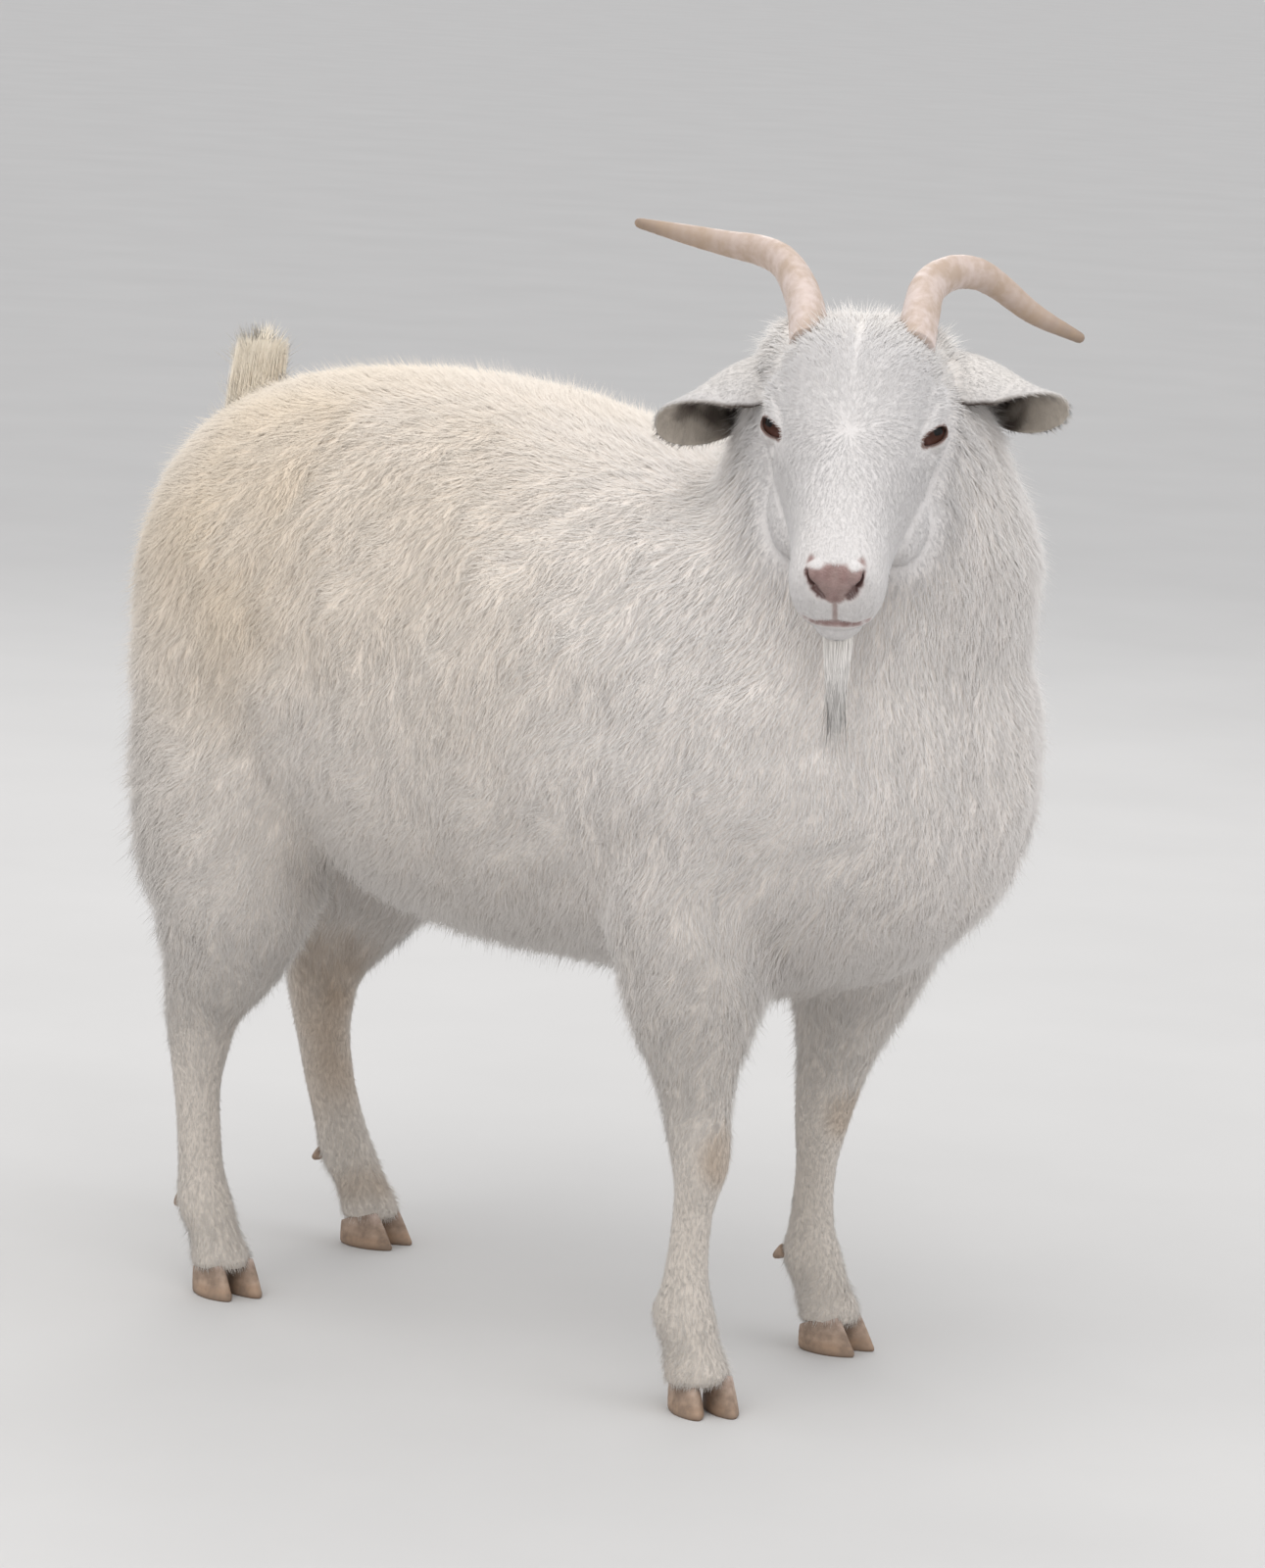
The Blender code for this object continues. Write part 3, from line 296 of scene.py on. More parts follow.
FOLDS = (  # creases on both sides of the face: points in the head frame, radius, depth
    (((0.066, 0.058, -0.014), (0.084, 0.054, -0.012), (0.104, 0.042, -0.018)), 0.0045, 0.0016),
    (((0.072, 0.062, -0.052), (0.090, 0.058, -0.054), (0.108, 0.046, -0.046)), 0.0045, 0.0012),
)
FACE_FOLDS = {"lips": (0.0042, 0.0038), "philtrum": (0.0026, 0.0016), "nostrils": (0.0038, 0.0030)}  # radius, depth
NOSE_PAD = (  # heights and half widths of its wedge, from the bottom up
    (-0.0460, 0.0025),
    (-0.0385, 0.0092),
    (-0.0300, 0.0160),
    (-0.0250, 0.0196),
    (-0.0220, 0.0204),
    (-0.0195, 0.0190),
    (-0.0170, 0.0165),
)
NOSE_FRONT = 0.2180
EDGES = {  # where each mask of the skin starts to fade and ends, in metres from its surface or line
    "head": (0.0030, 0.0140),
    "face": (0.0010, 0.0300),
    "ear": (0.0008, 0.0030),
    "lids": (0.0010, 0.0040),
    "nostrils": (0.0008, 0.0032),
    "lips": (0.0008, 0.0038),
    "philtrum": (0.0008, 0.0034),
    "clear": (0.0022, 0.0050),  # of hair beside nostrils and lips
    "tail": (0.0220, 0.0400),
    "join": (0.0005, 0.0220),  # of head and neck
    "seam": (0.0001, 0.0006),
    "off_ears": (0.0010, 0.0120),
}
LID_EDGE = (1.12, 1.34)  # of the brown rim, as shares of the lids' opening
EYE_AXIS = (0.34, 0.76, 0.62)  # the way that the pupil looks; the pupil also stands for painted shade under the upper lid
EAR_ROUNDED = 0.66
HORN_PARTS = 14
HORN_RIDGE = 0.00035
HORN_RIDGE_GAP = 0.0085
HORN_KEEL = 0.05
CLAW_LEVELS = 12
CLAW_LINE = 0.003
CLAW_EDGES = {0.0: 0.93, 0.03: 0.975, 0.99: 0.97, 1.0: 0.90}  # how the sole's edge and the top are rounded
CLAW_WEAR = 0.00025
DEWCLAW_PROFILE = ((0.0, 0.92), (0.06, 1.0), (0.35, 0.86), (0.70, 0.62), (0.90, 0.42), (1.0, 0.18))

# Flesh that the one skin stands for
FLESH = [
    "head", "neck", "forequarters", "barrel", "hindquarters", "ear_l", "ear_r",
    "leg_fore_l", "leg_fore_r", "leg_hind_l", "leg_hind_r",
]

# What grows where: length, half width, lift at root and tip in degrees, pull and spacing of the
# clumps, tufts to the square metre. The first column is a height, or the way along the head.
LENGTH, HALF, LIFT, LIFT_END, PULL, SPACING, DENSITY = range(7)
LIFTS = slice(LIFT, LIFT_END + 1)
BODY_COAT = (
    (0.020, 0.0070, 0.00032, 24, 0, 0.12, 0.006, 300000),
    (0.045, 0.0105, 0.00032, 26, 0, 0.16, 0.007, 300000),
    (0.068, 0.0085, 0.00032, 19, 0, 0.14, 0.007, 300000),
    (0.120, 0.0058, 0.00030, 13, 0, 0.10, 0.005, 310000),
    (0.180, 0.0070, 0.00030, 14, 0, 0.12, 0.006, 300000),
    (0.225, 0.0130, 0.00035, 22, 0, 0.18, 0.008, 285000),
    (0.280, 0.0155, 0.00035, 22, 0, 0.15, 0.009, 275000),
    (0.340, 0.0165, 0.00035, 21, 0, 0.12, 0.010, 252000),
    (0.480, 0.0165, 0.00035, 21, 0, 0.12, 0.010, 252000),
    (0.620, 0.0165, 0.00035, 22, 0, 0.14, 0.010, 252000),
    (0.700, 0.0175, 0.00036, 26, 0, 0.18, 0.010, 270000),
)
NECK_COAT = (0.0200, 0.00034, 19, 0, 0.20, 0.010, 275000)
HEAD_COAT = (
    (-0.050, 0.0190, 0.00040, 26, 6, 0.22, 0.008, 300000),
    (0.000, 0.0190, 0.00036, 24, 4, 0.26, 0.009, 330000),
    (0.040, 0.0165, 0.00034, 18, 1, 0.24, 0.008, 360000),
    (0.080, 0.0120, 0.00031, 15, 0, 0.16, 0.006, 440000),
    (0.140, 0.0080, 0.00029, 11, 0, 0.10, 0.004, 480000),
    (0.190, 0.0050, 0.00027, 11, 0, 0.07, 0.003, 500000),
    (0.225, 0.0030, 0.00026, 13, 0, 0.07, 0.003, 480000),
)
CHEEK_COAT = (
    (-0.050, 0.0170, 0.00043, 27, 8, 0.24, 0.008, 300000),
    (0.000, 0.0120, 0.00037, 19, 6, 0.21, 0.007, 340000),
    (0.050, 0.0120, 0.00034, 20, 0, 0.16, 0.006, 400000),
    (0.110, 0.0062, 0.00030, 13, 0, 0.08, 0.004, 460000),
    (0.180, 0.0046, 0.00027, 14, 0, 0.07, 0.003, 480000),
    (0.225, 0.0032, 0.00025, 18, 0, 0.07, 0.003, 500000),
)
SHAGGY = (  # where the coat hangs longer and in locks: middle and reach
    ((-0.270, -0.105, 0.370), (0.110, 0.090, 0.140)),
    ((-0.270, 0.105, 0.370), (0.110, 0.090, 0.140)),
    ((0.230, 0.000, 0.330), (0.120, 0.170, 0.100)),
    ((0.000, 0.000, 0.330), (0.300, 0.170, 0.070)),
)
SHAGGY_MORE = (0.50, 0.15, 7, 0.26, 0.005)  # length, width, lift, pull, spacing
BREECH_MORE = 0.30  # how much longer the coat is at the back of the thighs
BELLY_LIFT = 12.0
EAR_RIM_LESS = 0.65  # how much shorter the hair is at the rims of the ears, and beside the lids
LID_LESS = 0.55
HORN_COVER = 0.005  # how far hair grows in under the horns
EAR_COAT = (0.0048, 0.00030, 14, 5, 0.10, 0.004, 420000)
EAR_INNER_COAT = (0.0075, 0.00030, 24, 10, 0.15, 0.004, 130000)
TAIL_COAT = (0.0260, 0.00060, 30, 0, 0.40, 0.010, 300000)
LEAN = ((0.15, 0.10), (0.28, 0.30), (0.42, 0.50), (0.62, 0.55), (0.72, 0.90))  # by height: back for each down
NECK_LEAN = 0.16
NECK_FROM = (0.19, 0.52)  # x and z where the coat of the neck begins
COAT_END = 0.0215
WHORL = (0.128, 0.0, 0.010)  # on the bridge of the nose, where the hair of the face parts
PARTING = 0.035
SWIRLS = ((26.0, 0.070, 6), (34.0, 0.022, 7), (24.0, 0.011, 9))  # degrees, size, seed
STRAY_TURN = 13.0
STRAYS = 0.10
STRAY_LENGTH = 1.15
STRAY_LIFT = 24.0
STRAY_HALF = 0.6
STRAY_PULL = 0.1
LENGTH_SPREAD = (0.78, 1.18)
HALF_SPREAD = (0.80, 1.15)
LIFT_SPREAD = 5.0
TUFT_BEND = 0.20
TUFT_TONES = 0.032
TUFT_SINK = 0.0012
FULL_SINK = 0.0040  # tufts that rise this high are sunk in full
TUFT_RINGS = {  # for each ring: share of the half width, of the height, and tone, which is painted shade, darkest at the root and lifting towards the tip
    1: ((1.0, 0.60, (0.97, 0.945, 0.92)),),
    2: ((1.0, 0.65, (0.95, 0.91, 0.87)), (0.72, 0.50, (0.99, 0.98, 0.97))),
    3: ((1.0, 0.65, (0.94, 0.90, 0.85)), (0.85, 0.60, (0.98, 0.97, 0.95)), (0.55, 0.40, (1.0, 1.0, 1.0))),
}
# painted light on the tips of the tufts
TIP_PAINTED_LIGHT = 1.02
RINGS = {"coat_crown": 2}
SKIN_SHADING = 0.88
EAR_SHADING = 0.62
PATCH = 0.003  # of the unwrap, for one tuft
TRUNK_MIDDLE = 0.48
TRUNK_PIECES = (("rump", -1.0, -0.215), ("flank", -0.215, -0.03), ("rib", -0.03, 0.13), ("shoulder", 0.13, 1.0))
LEG_COAT_TOP = 0.29
CROWN_END = 0.062
STRAND_BOW = 7.0  # degrees
STRAND_PULL = 0.22
STRAND_CLUMP = 0.006
TAIL_STRANDS = (3400, 400)
TAIL_ROOT = (-0.321, 0.0, 0.596)
TAIL_SHOULDER = (-0.306, 0.0, 0.672)
TAIL_TOP = (-0.301, 0.0, 0.717)
TAIL_RADIUS = 0.0145
TAIL_FLARE = 0.0220
TAIL_RAGGED = 0.0032
TAIL_THIN = (0.00026, 0.00046)  # half width of a strand
BEARD_STRANDS = (1800, 260)
BEARD_ROOT = (0.214, 0.0, -0.080)
BEARD_SINK = 0.006
BEARD_RADIUS = 0.0115
BEARD_TIP = 0.0065
BEARD_LEAN = (0.0, 0.03, 0.0)
BEARD_LENGTHS = (0.078, 0.120)
BEARD_THIN = (0.00024, 0.00042)

# Colours: the things' own, but for those marked as painted shade or painted light
COAT_WHITE = (0.960, 0.925, 0.900)
COAT_CREAM = (0.950, 0.900, 0.850)
COAT_YELLOW = (0.940, 0.815, 0.655)
COAT_TAN = (0.450, 0.345, 0.250)
CROWN_CREAM = (0.840, 0.815, 0.790)
# the white of the face hair, painted darker than the coat's white: painted shade
FACE_WHITE_SHADED = (0.705, 0.692, 0.695)
# dust on the legs, and painted shade on the legs and under the belly
LOWER_DUST_AND_SHADE = (0.570, 0.535, 0.490)
TAIL_CREAM = (0.960, 0.865, 0.720)
BEARD_WHITE = (0.930, 0.900, 0.870)
# painted shade of the skin between the tufts
SKIN_PAINTED_SHADE = (0.97, 0.93, 0.89)
EAR_INNER = (0.520, 0.460, 0.385)
EAR_PAINTED_SHADE = 0.14  # how much darker the ears are painted than the face: painted shade, as they face the light
# dark brown deep in the ear's hollow by its root: partly dark hair, partly painted shade
EAR_DEPTH_HAIR_AND_SHADE = (0.050, 0.032, 0.024)
NOSE_PINK = (0.350, 0.270, 0.250)
NOSE_DARK = (0.290, 0.190, 0.178)
# painted shade inside the nostrils and along their folds
NOSTRIL_SHADE = (0.130, 0.070, 0.062)
LIP_PINK = (0.320, 0.220, 0.205)
LID_BROWN = (0.150, 0.090, 0.072)
STAINS = (  # worn and stained places: middle, reach, strength
    ((0.262, -0.110, 0.185), (0.020, 0.030, 0.032), 0.75),
    ((0.208, 0.110, 0.178), (0.020, 0.030, 0.030), 0.65),
    ((-0.285, 0.085, 0.215), (0.060, 0.045, 0.110), 0.75),
    ((-0.225, -0.080, 0.240), (0.050, 0.035, 0.090), 0.45),
    ((-0.300, 0.106, 0.120), (0.035, 0.030, 0.060), 0.70),
    ((0.240, 0.000, 0.300), (0.110, 0.075, 0.060), 0.30),
    ((-0.200, 0.000, 0.330), (0.090, 0.070, 0.070), 0.35),
    ((-0.325, 0.050, 0.600), (0.035, 0.060, 0.080), 0.15),
    ((0.232, -0.110, 0.030), (0.035, 0.035, 0.020), 0.35),
    ((-0.262, 0.106, 0.045), (0.040, 0.035, 0.025), 0.55),
)
HORN_LOOKS = {
    "colours": (  # by growth, root to tip
        (0.00, (0.680, 0.575, 0.535)),
        (0.20, (0.640, 0.535, 0.490)),
        (0.50, (0.580, 0.475, 0.425)),
        (0.85, (0.430, 0.335, 0.275)),
        (1.00, (0.270, 0.200, 0.155)),
    ),
    "lines": 150.0,
    "dust": 0.75,
    "Lines": (0.14, (0.72, 0.60, 0.52)),  # share and colour of the growth lines, then of the worn patches
    "Wear": (0.80, (0.40, 0.29, 0.20)),
    "rough": (0.25, 0.38),
    "shine": 0.45,
    "bump": 0.35,
}
HOOF_LOOKS = {
    "colours": (  # by height, sole to coronet
        (0.00, (0.220, 0.150, 0.105)),
        (0.22, (0.400, 0.275, 0.190)),
        (0.65, (0.430, 0.325, 0.255)),
        (1.00, (0.560, 0.440, 0.385)),
    ),
    "lines": 24.0,
    "dust": 1.1,
    "Lines": (0.22, (0.60, 0.50, 0.44)),
    "Wear": (0.75, (0.22, 0.16, 0.12)),
    "rough": (0.3, 0.45),
    "shine": 0.35,
    "bump": 0.4,
}
# iris colours, darkened in part as painted shade of the brow and upper lid
IRIS_SHADED_COLOURS = (
    (0.020, (0.030, 0.012, 0.008)),
    (0.075, (0.062, 0.025, 0.017)),
    (0.110, (0.085, 0.036, 0.027)),
    (0.150, (0.170, 0.085, 0.070)),
)
PUPIL_AND_LID_SHADE = (0.056, 0.034)  # half length and half height, as shares of a whole turn; broad, as it also stands for painted shade under the upper lid

# Studio
PHOTO_WIDTH = 1291
CAMERA_FOCUS = 6164.55  # in pixels of the photograph
SENSOR = 36.0
CAMERA = (2.793, -3.4218, 1.0925)
CAMERA_AXES = ((0.7784, 0.6263, 0.0431), (-0.1289, 0.0922, 0.9874), (0.6144, -0.7741, 0.1525))
FLOOR_RADIUS = 120.0
FLOOR_COLOUR = (0.57, 0.565, 0.56)
WORLD_COLOUR = (0.99, 0.99, 1.0)
WORLD_STRENGTH = 0.92
LIGHT_AIM = (0.0, 0.0, 0.40)
LIGHTS = (  # name, place, size, watts, colour
    ("key", (0.6, -1.9, 3.6), 3.8, 62, (1.0, 0.985, 0.96)),
    ("fill", (3.2, 0.6, 2.0), 3.0, 20, (0.97, 0.98, 1.0)),
    ("back", (-2.0, 2.2, 2.8), 2.6, 30, (1.0, 0.99, 0.97)),
)
DRIFT_SIZE = 16


# --- shapes ---


def new_collection(name):
    made = bpy.data.collections.new(name)
    bpy.context.scene.collection.children.link(made)
    return made


def add_object(name, shape, home):
    """An object in the collection home, from a bmesh, which is freed."""
    mesh = bpy.data.meshes.new(name)
    shape.to_mesh(mesh)
    shape.free()
    obj = bpy.data.objects.new(name, mesh)
    home.objects.link(obj)
    return obj


def modify(obj, kind, **settings):
    """Puts a modifier on an object and applies it at once."""
    modifier = obj.modifiers.new(kind.title(), kind)
    for name, value in settings.items():
        setattr(modifier, name, value)
    graph = bpy.context.evaluated_depsgraph_get()
    made = bpy.data.meshes.new_from_object(obj.evaluated_get(graph))
    obj.modifiers.clear()
    before = obj.data
    obj.data = made
    bpy.data.meshes.remove(before)
    return obj


def boolean(obj, other, operation):
    modify(obj, "BOOLEAN", operation=operation, object=other, solver="MANIFOLD")
    bpy.data.objects.remove(other)


def smooth_curve(knots, parts):
    """Rows of numbers along a smooth curve through the knots, with this many parts to a span."""
    knots = np.asarray(knots, float)
    padded = np.vstack([2 * knots[0] - knots[1], knots, 2 * knots[-1] - knots[-2]])
    rows = []
    for i in range(len(knots) - 1):
        a, b, c, d = padded[i : i + 4]
        for t in np.arange(parts) / parts:
            bend = (2 * a - 5 * b + 4 * c - d) * t**2 + (3 * b - a - 3 * c + d) * t**3
            rows.append(0.5 * (2 * b + (c - a) * t + bend))
    rows.append(knots[-1])
    return np.array(rows)


def read_curve(knots, t):
    """A row of numbers at t, from 0 to 1, along evenly spaced knots joined by straight lines."""
    knots = np.asarray(knots, float).reshape(len(knots), -1)
    places = np.linspace(0.0, 1.0, len(knots))
    return np.array([np.interp(t, places, column) for column in knots.T])


def oval(centre, across, along, sides, square=1.0):
    """Points of an oval with these two half axes. A square under 1 fills out its corners."""
    angles = 2 * np.pi * np.arange(sides) / sides
    c, s = np.cos(angles), np.sin(angles)
    c = np.sign(c) * np.abs(c) ** square
    s = np.sign(s) * np.abs(s) ** square
    return np.asarray(centre) + np.outer(c, across) + np.outer(s, along)


def loft(rings):
    """A closed bmesh through rings of points: the first ring's edge is extruded from ring to ring."""
    shape = bmesh.new()
    slot = shape.verts.layers.int.new("slot")
    start = bmesh.ops.create_circle(shape, segments=len(rings[0]), radius=1.0)["verts"]
    for i, vert in enumerate(start):
        vert[slot] = i
        vert.co = rings[0][i]
    edges = shape.edges[:]
    bmesh.ops.contextual_create(shape, geom=edges)
    for ring in rings[1:]:
        grown = bmesh.ops.extrude_edge_only(shape, edges=edges)["geom"]
        edges = [item for item in grown if isinstance(item, bmesh.types.BMEdge)]
        for vert in (item for item in grown if isinstance(item, bmesh.types.BMVert)):
            vert.co = ring[vert[slot] % len(ring)]
    if len(rings[-1]) == 1:
        tip = list({vert for edge in edges for vert in edge.verts})
        bmesh.ops.pointmerge(shape, verts=tip, merge_co=tip[0].co)
    else:
        bmesh.ops.contextual_create(shape, geom=edges)
    bmesh.ops.recalc_face_normals(shape, faces=shape.faces[:])
    return shape


def ellipsoid(centre, halves, sides):
    shape = bmesh.new()
    bmesh.ops.create_uvsphere(shape, u_segments=sides, v_segments=sides // 2, radius=1.0)
    bmesh.ops.scale(shape, vec=Vector(halves), verts=shape.verts)
    bmesh.ops.translate(shape, vec=Vector(centre), verts=shape.verts)
    return shape


def heap_up(shapes):
    """One bmesh that holds all of these, which are freed."""
    whole = bmesh.new()
    for shape in shapes:
        loose = bpy.data.meshes.new("loose")
        shape.to_mesh(loose)
        shape.free()
        whole.from_mesh(loose)
        bpy.data.meshes.remove(loose)
    return whole


def mirrored(point, side):
    return Vector((point[0], point[1] * side, point[2]))


def points_of(mesh):
    found = np.empty(len(mesh.vertices) * 3, np.float32)
    mesh.vertices.foreach_get("co", found)
    return found.reshape(-1, 3).astype(float)


def normals_of(mesh):
    found = np.empty(len(mesh.vertices) * 3, np.float32)
    mesh.vertex_normals.foreach_get("vector", found)
    return found.reshape(-1, 3).astype(float)


def put_points(mesh, places):
    mesh.vertices.foreach_set("co", np.asarray(places, np.float32).ravel())
    mesh.update()


def ease(values, low, high):
    """From 0 at low to 1 at high, with soft ends."""
    t = np.clip((values - low) / (high - low), 0, 1)
    return t * t * (3 - 2 * t)


def unit(vectors):
    return vectors / np.maximum(np.linalg.norm(vectors, axis=-1, keepdims=True), 1e-9)


def drift(places, scale, seed):
    """Smooth random values from -1 to 1 that change over about this many metres."""
    grid = np.random.default_rng(seed).uniform(-1, 1, (DRIFT_SIZE,) * 3)
    cells = places / scale
    low = np.floor(cells).astype(int)
    share = cells - low
    share = share * share * (3 - 2 * share)
    total = np.zeros(len(places))
    for corner in np.ndindex(2, 2, 2):
        weight = np.prod(np.where(corner, share, 1 - share), axis=1)
        x, y, z = ((low + corner) % DRIFT_SIZE).T
        total += weight * grid[x, y, z]
    return total


def gap_to(places, curve):
    """The distance of each place from a curve given by close points."""
    nearest = np.full(len(places), np.inf)
    for point in np.asarray(curve, float):
        nearest = np.minimum(nearest, np.linalg.norm(places - point, axis=1))
    return nearest


# --- skin ---


def skin_depth(z):
    return float(np.interp(z, *zip(*SKIN_DEPTH)))


def head_depth(x):
    return float(np.interp(x, *zip(*HEAD_DEPTH)))


def level_loft(stations, sides, parts, inset):
    """A limb or neck from level sections, each drawn in by what inset gives for its height."""
    rings = []
    for x, y, z, deep, wide in smooth_curve(stations, parts):
        depth = inset(z)
        rings.append(oval((x, y, z), (deep - depth, 0, 0), (0, wide - depth, 0), sides))
    return loft(rings)


def upright_loft(stations, sides, parts, inset, square):
    """A trunk or skull from sections across x, each drawn in by what inset gives for its x."""
    rings = []
    for x, top, bottom, wide in smooth_curve(stations, parts):
        tall, depth = (top - bottom) / 2, inset(x)
        rings.append(oval((x, 0, (top + bottom) / 2), (0, wide - depth, 0), (0, 0, tall - depth), sides, square))
    return loft(rings)


def make_body(home):
    """Trunk, neck, legs and the core of the tail in one skin, heaved a little by the coat's fluff."""
    shapes = [upright_loft(TRUNK, 48, 5, lambda x: SKIN_DEPTH[-1][1], TRUNK_SQUARE)]
    for stations in (NECK, *LEGS.values()):
        shapes.append(level_loft(stations, 28, 6, skin_depth))
    shapes.append(level_loft(TAIL_CORE, 20, 4, lambda z: TAIL_DEPTH))
    body = add_object("body", heap_up(shapes), home)
    modify(body, "REMESH", mode="VOXEL", voxel_size=BODY_VOXEL)
    upper = body.vertex_groups.new(name="upper")
    for vert in body.data.vertices:
        weight = float(np.interp(vert.co.z, SMOOTH_BAND, (0.0, 1.0)))
        if weight:
            upper.add([vert.index], weight, "REPLACE")
    modify(body, "SMOOTH", factor=0.5, iterations=BODY_SMOOTHING, vertex_group="upper")
    modify(body, "SMOOTH", factor=0.5, iterations=LEG_SMOOTHING)
    breast = body.vertex_groups.new(name="breast")
    centre, reach = BREAST
    for vert in body.data.vertices:
        weight = 1 - (vert.co - Vector(centre)).length / reach
        if weight > 0:
            breast.add([vert.index], min(2 * weight, 1), "REPLACE")
    modify(body, "SMOOTH", factor=0.5, iterations=BREAST_SMOOTHING, vertex_group="breast")
    places = points_of(body.data)
    rise = sum(share * drift(places, scale, seed) for share, scale, seed in FLUFF)
    normals = normals_of(body.data)
    rise *= ease(places[:, 2], 0.20, 0.34) * (1 - 0.8 * ease(normals[:, 2], 0.25, 0.75))
    put_points(body.data, places + normals * rise[:, None])
    return body


def head_frame():
    """The matrix that takes the head's own frame into the goat's."""
    turn = Matrix.Rotation(math.radians(HEAD_YAW), 4, "Z") @ Matrix.Rotation(math.radians(-HEAD_PITCH), 4, "Y")
    return Matrix.Translation(CROWN) @ turn


def in_head(places):
    """Places of the goat's frame in the head's own frame."""
    turn = np.array(head_frame().inverted())
    return places @ turn[:3, :3].T + turn[:3, 3]


def out_of_head(vectors):
    """Directions of the head's own frame in the goat's frame."""
    return vectors @ np.array(head_frame())[:3, :3].T


def hanging_down():
    """Straight down, in the head's own frame."""
    tilt = math.radians(-HEAD_PITCH)
    return Vector((math.sin(tilt), 0, -math.cos(tilt)))


def turned_ball(centre, gaze, slit, halves, sides):
    """An ellipsoid with half sizes along the gaze, along the slit and across both."""
    gaze = Vector(gaze).normalized()
    along = (Vector(slit) - Vector(slit).dot(gaze) * gaze).normalized()
    turn = Matrix((gaze, along, gaze.cross(along))).transposed().to_4x4()
    shape = ellipsoid((0, 0, 0), halves, sides)
    bmesh.ops.transform(shape, matrix=Matrix.Translation(centre) @ turn, verts=shape.verts)
    bmesh.ops.recalc_face_normals(shape, faces=shape.faces[:])
    return shape


def press_fold(places, normals, curve, radius, depth):
    """Presses a groove into the skin along a curve."""
    share = 1 - ease(gap_to(places, curve), 0.0, radius)
    return places - normals * (share * depth)[:, None]


def snapped(tree, points):
    """A close row of points on the skin, along a curve."""
    return np.array([tree.find_nearest(Vector(point))[0] for point in smooth_curve(points, 12)])


def press_face(head):
    """Presses in mouth, nostrils, the groove between them and the folds of the face, and gives back their lines."""
    mesh = head.data
    tree = tree_of(head)
    places, normals = points_of(mesh), normals_of(mesh)
    nostrils = [snapped(tree, [mirrored(point, side) for point in NOSTRIL_LINE]) for side in (1, -1)]
    lines = {
        "lips": snapped(tree, [*MOUTH, *(mirrored(point, -1) for point in reversed(MOUTH[:-1]))]),
        "philtrum": snapped(tree, PHILTRUM),
        "nostrils": np.concatenate(nostrils),
    }
    presses = [(lines[name], *fold) for name, fold in FACE_FOLDS.items()]
    for side in (1, -1):
        for points, radius, depth in FOLDS:
            presses.append((snapped(tree, [mirrored(point, side) for point in points]), radius, depth))
    for curve, radius, depth in presses:
        places = press_fold(places, normals, curve, radius, depth)
    put_points(mesh, places)
    tree = tree_of(head)
    return {name: np.array([tree.find_nearest(Vector(point))[0] for point in line]) for name, line in lines.items()}


def open_lids(head, home):
    """Sinks a socket for each eyeball and leaves an upper and a lower lid over it."""
    for side in (1, -1):
        centre, gaze, slit = (mirrored(row, side) for row in (EYE, EYE_GAZE, EYE_SLIT))
        outer = EYE_RADIUS + GAP + LID_THICKNESS
        boolean(head, add_object("lid", turned_ball(centre, gaze, slit, (outer,) * 3, 48), home), "UNION")
        place = centre + gaze.normalized() * EYE_RADIUS + slit.normalized() * LID_SHIFT
        halves = (EYE_RADIUS, *LID_OPENING)
        for place, halves in ((centre, (EYE_RADIUS + GAP,) * 3), (place, halves)):
            boolean(head, add_object("socket", turned_ball(place, gaze, slit, halves, 48), home), "DIFFERENCE")


def make_head(home):
    """The head's skin in its own frame, with open lids and nostrils, and the lines of its face."""
    shapes = [upright_loft(SKULL, SKULL_SIDES, 6, head_depth, SKULL_SQUARE)]
    for *centre, a, b, c in SWELLINGS:
        halves = [half - SWELLING_DEPTH for half in (a, b, c)]
        sides = (1, -1) if centre[1] else (1,)
        shapes += [ellipsoid(mirrored(centre, side), halves, SWELLING_SIDES) for side in sides]
    head = add_object("head_skin", heap_up(shapes), home)
    modify(head, "REMESH", mode="VOXEL", voxel_size=HEAD_VOXEL)
    modify(head, "SMOOTH", factor=0.5, iterations=HEAD_SMOOTHING)
    lines = press_face(head)
    open_lids(head, home)
    for side in (1, -1):
        ball = turned_ball(*(mirrored(row, side) for row in NOSTRIL), NOSTRIL_HALVES, 32)
        boolean(head, add_object("nostril", ball, home), "DIFFERENCE")
    return head, lines


def make_ear(name, home):
    """A leaf rolled round its ridge, its hollow side down and forward, tighter at the root."""
    down = hanging_down()
    forward = Vector((-down.z, 0, down.x))
    ridge = smooth_curve(EARS[name], 12)
    steps = len(ridge) - 1
    shape = bmesh.new()
    bmesh.ops.create_grid(shape, x_segments=steps, y_segments=24, size=1.0)
    for vert in shape.verts:
        t = (vert.co.x + 1) / 2
        i = round(t * steps)
        along = Vector(ridge[min(i + 1, steps)] - ridge[max(i - 1, 0)]).normalized()
        ahead, below = read_curve(EAR_FACING[name], t)
        hollow = forward * ahead + down * below
        hollow = (hollow - hollow.dot(along) * along).normalized()
        full = half = float(read_curve(EAR_WIDTHS, t)[0])
        if t > EAR_ROUNDED:
            half *= math.sqrt(max(1 - ((t - EAR_ROUNDED) / (1 - EAR_ROUNDED)) ** 2, 0.02))
        curl = math.radians(float(read_curve(EAR_CURLS, t)[0]))
        bend = full / math.sin(curl)
        angle = vert.co.y * curl * half / full
        angle *= EAR_BACK if vert.co.y * EAR_FRONT[name] > 0 else 1
        side = along.cross(hollow)
        vert.co = Vector(ridge[i]) + side * bend * math.sin(angle) + hollow * bend * (1 - math.cos(angle))
    ear = add_object(name, shape, home)
    return modify(ear, "SOLIDIFY", thickness=EAR_THICKNESS, offset=0.0)


# --- markings: masks, colours and rows of the coat tables for places on the skin ---


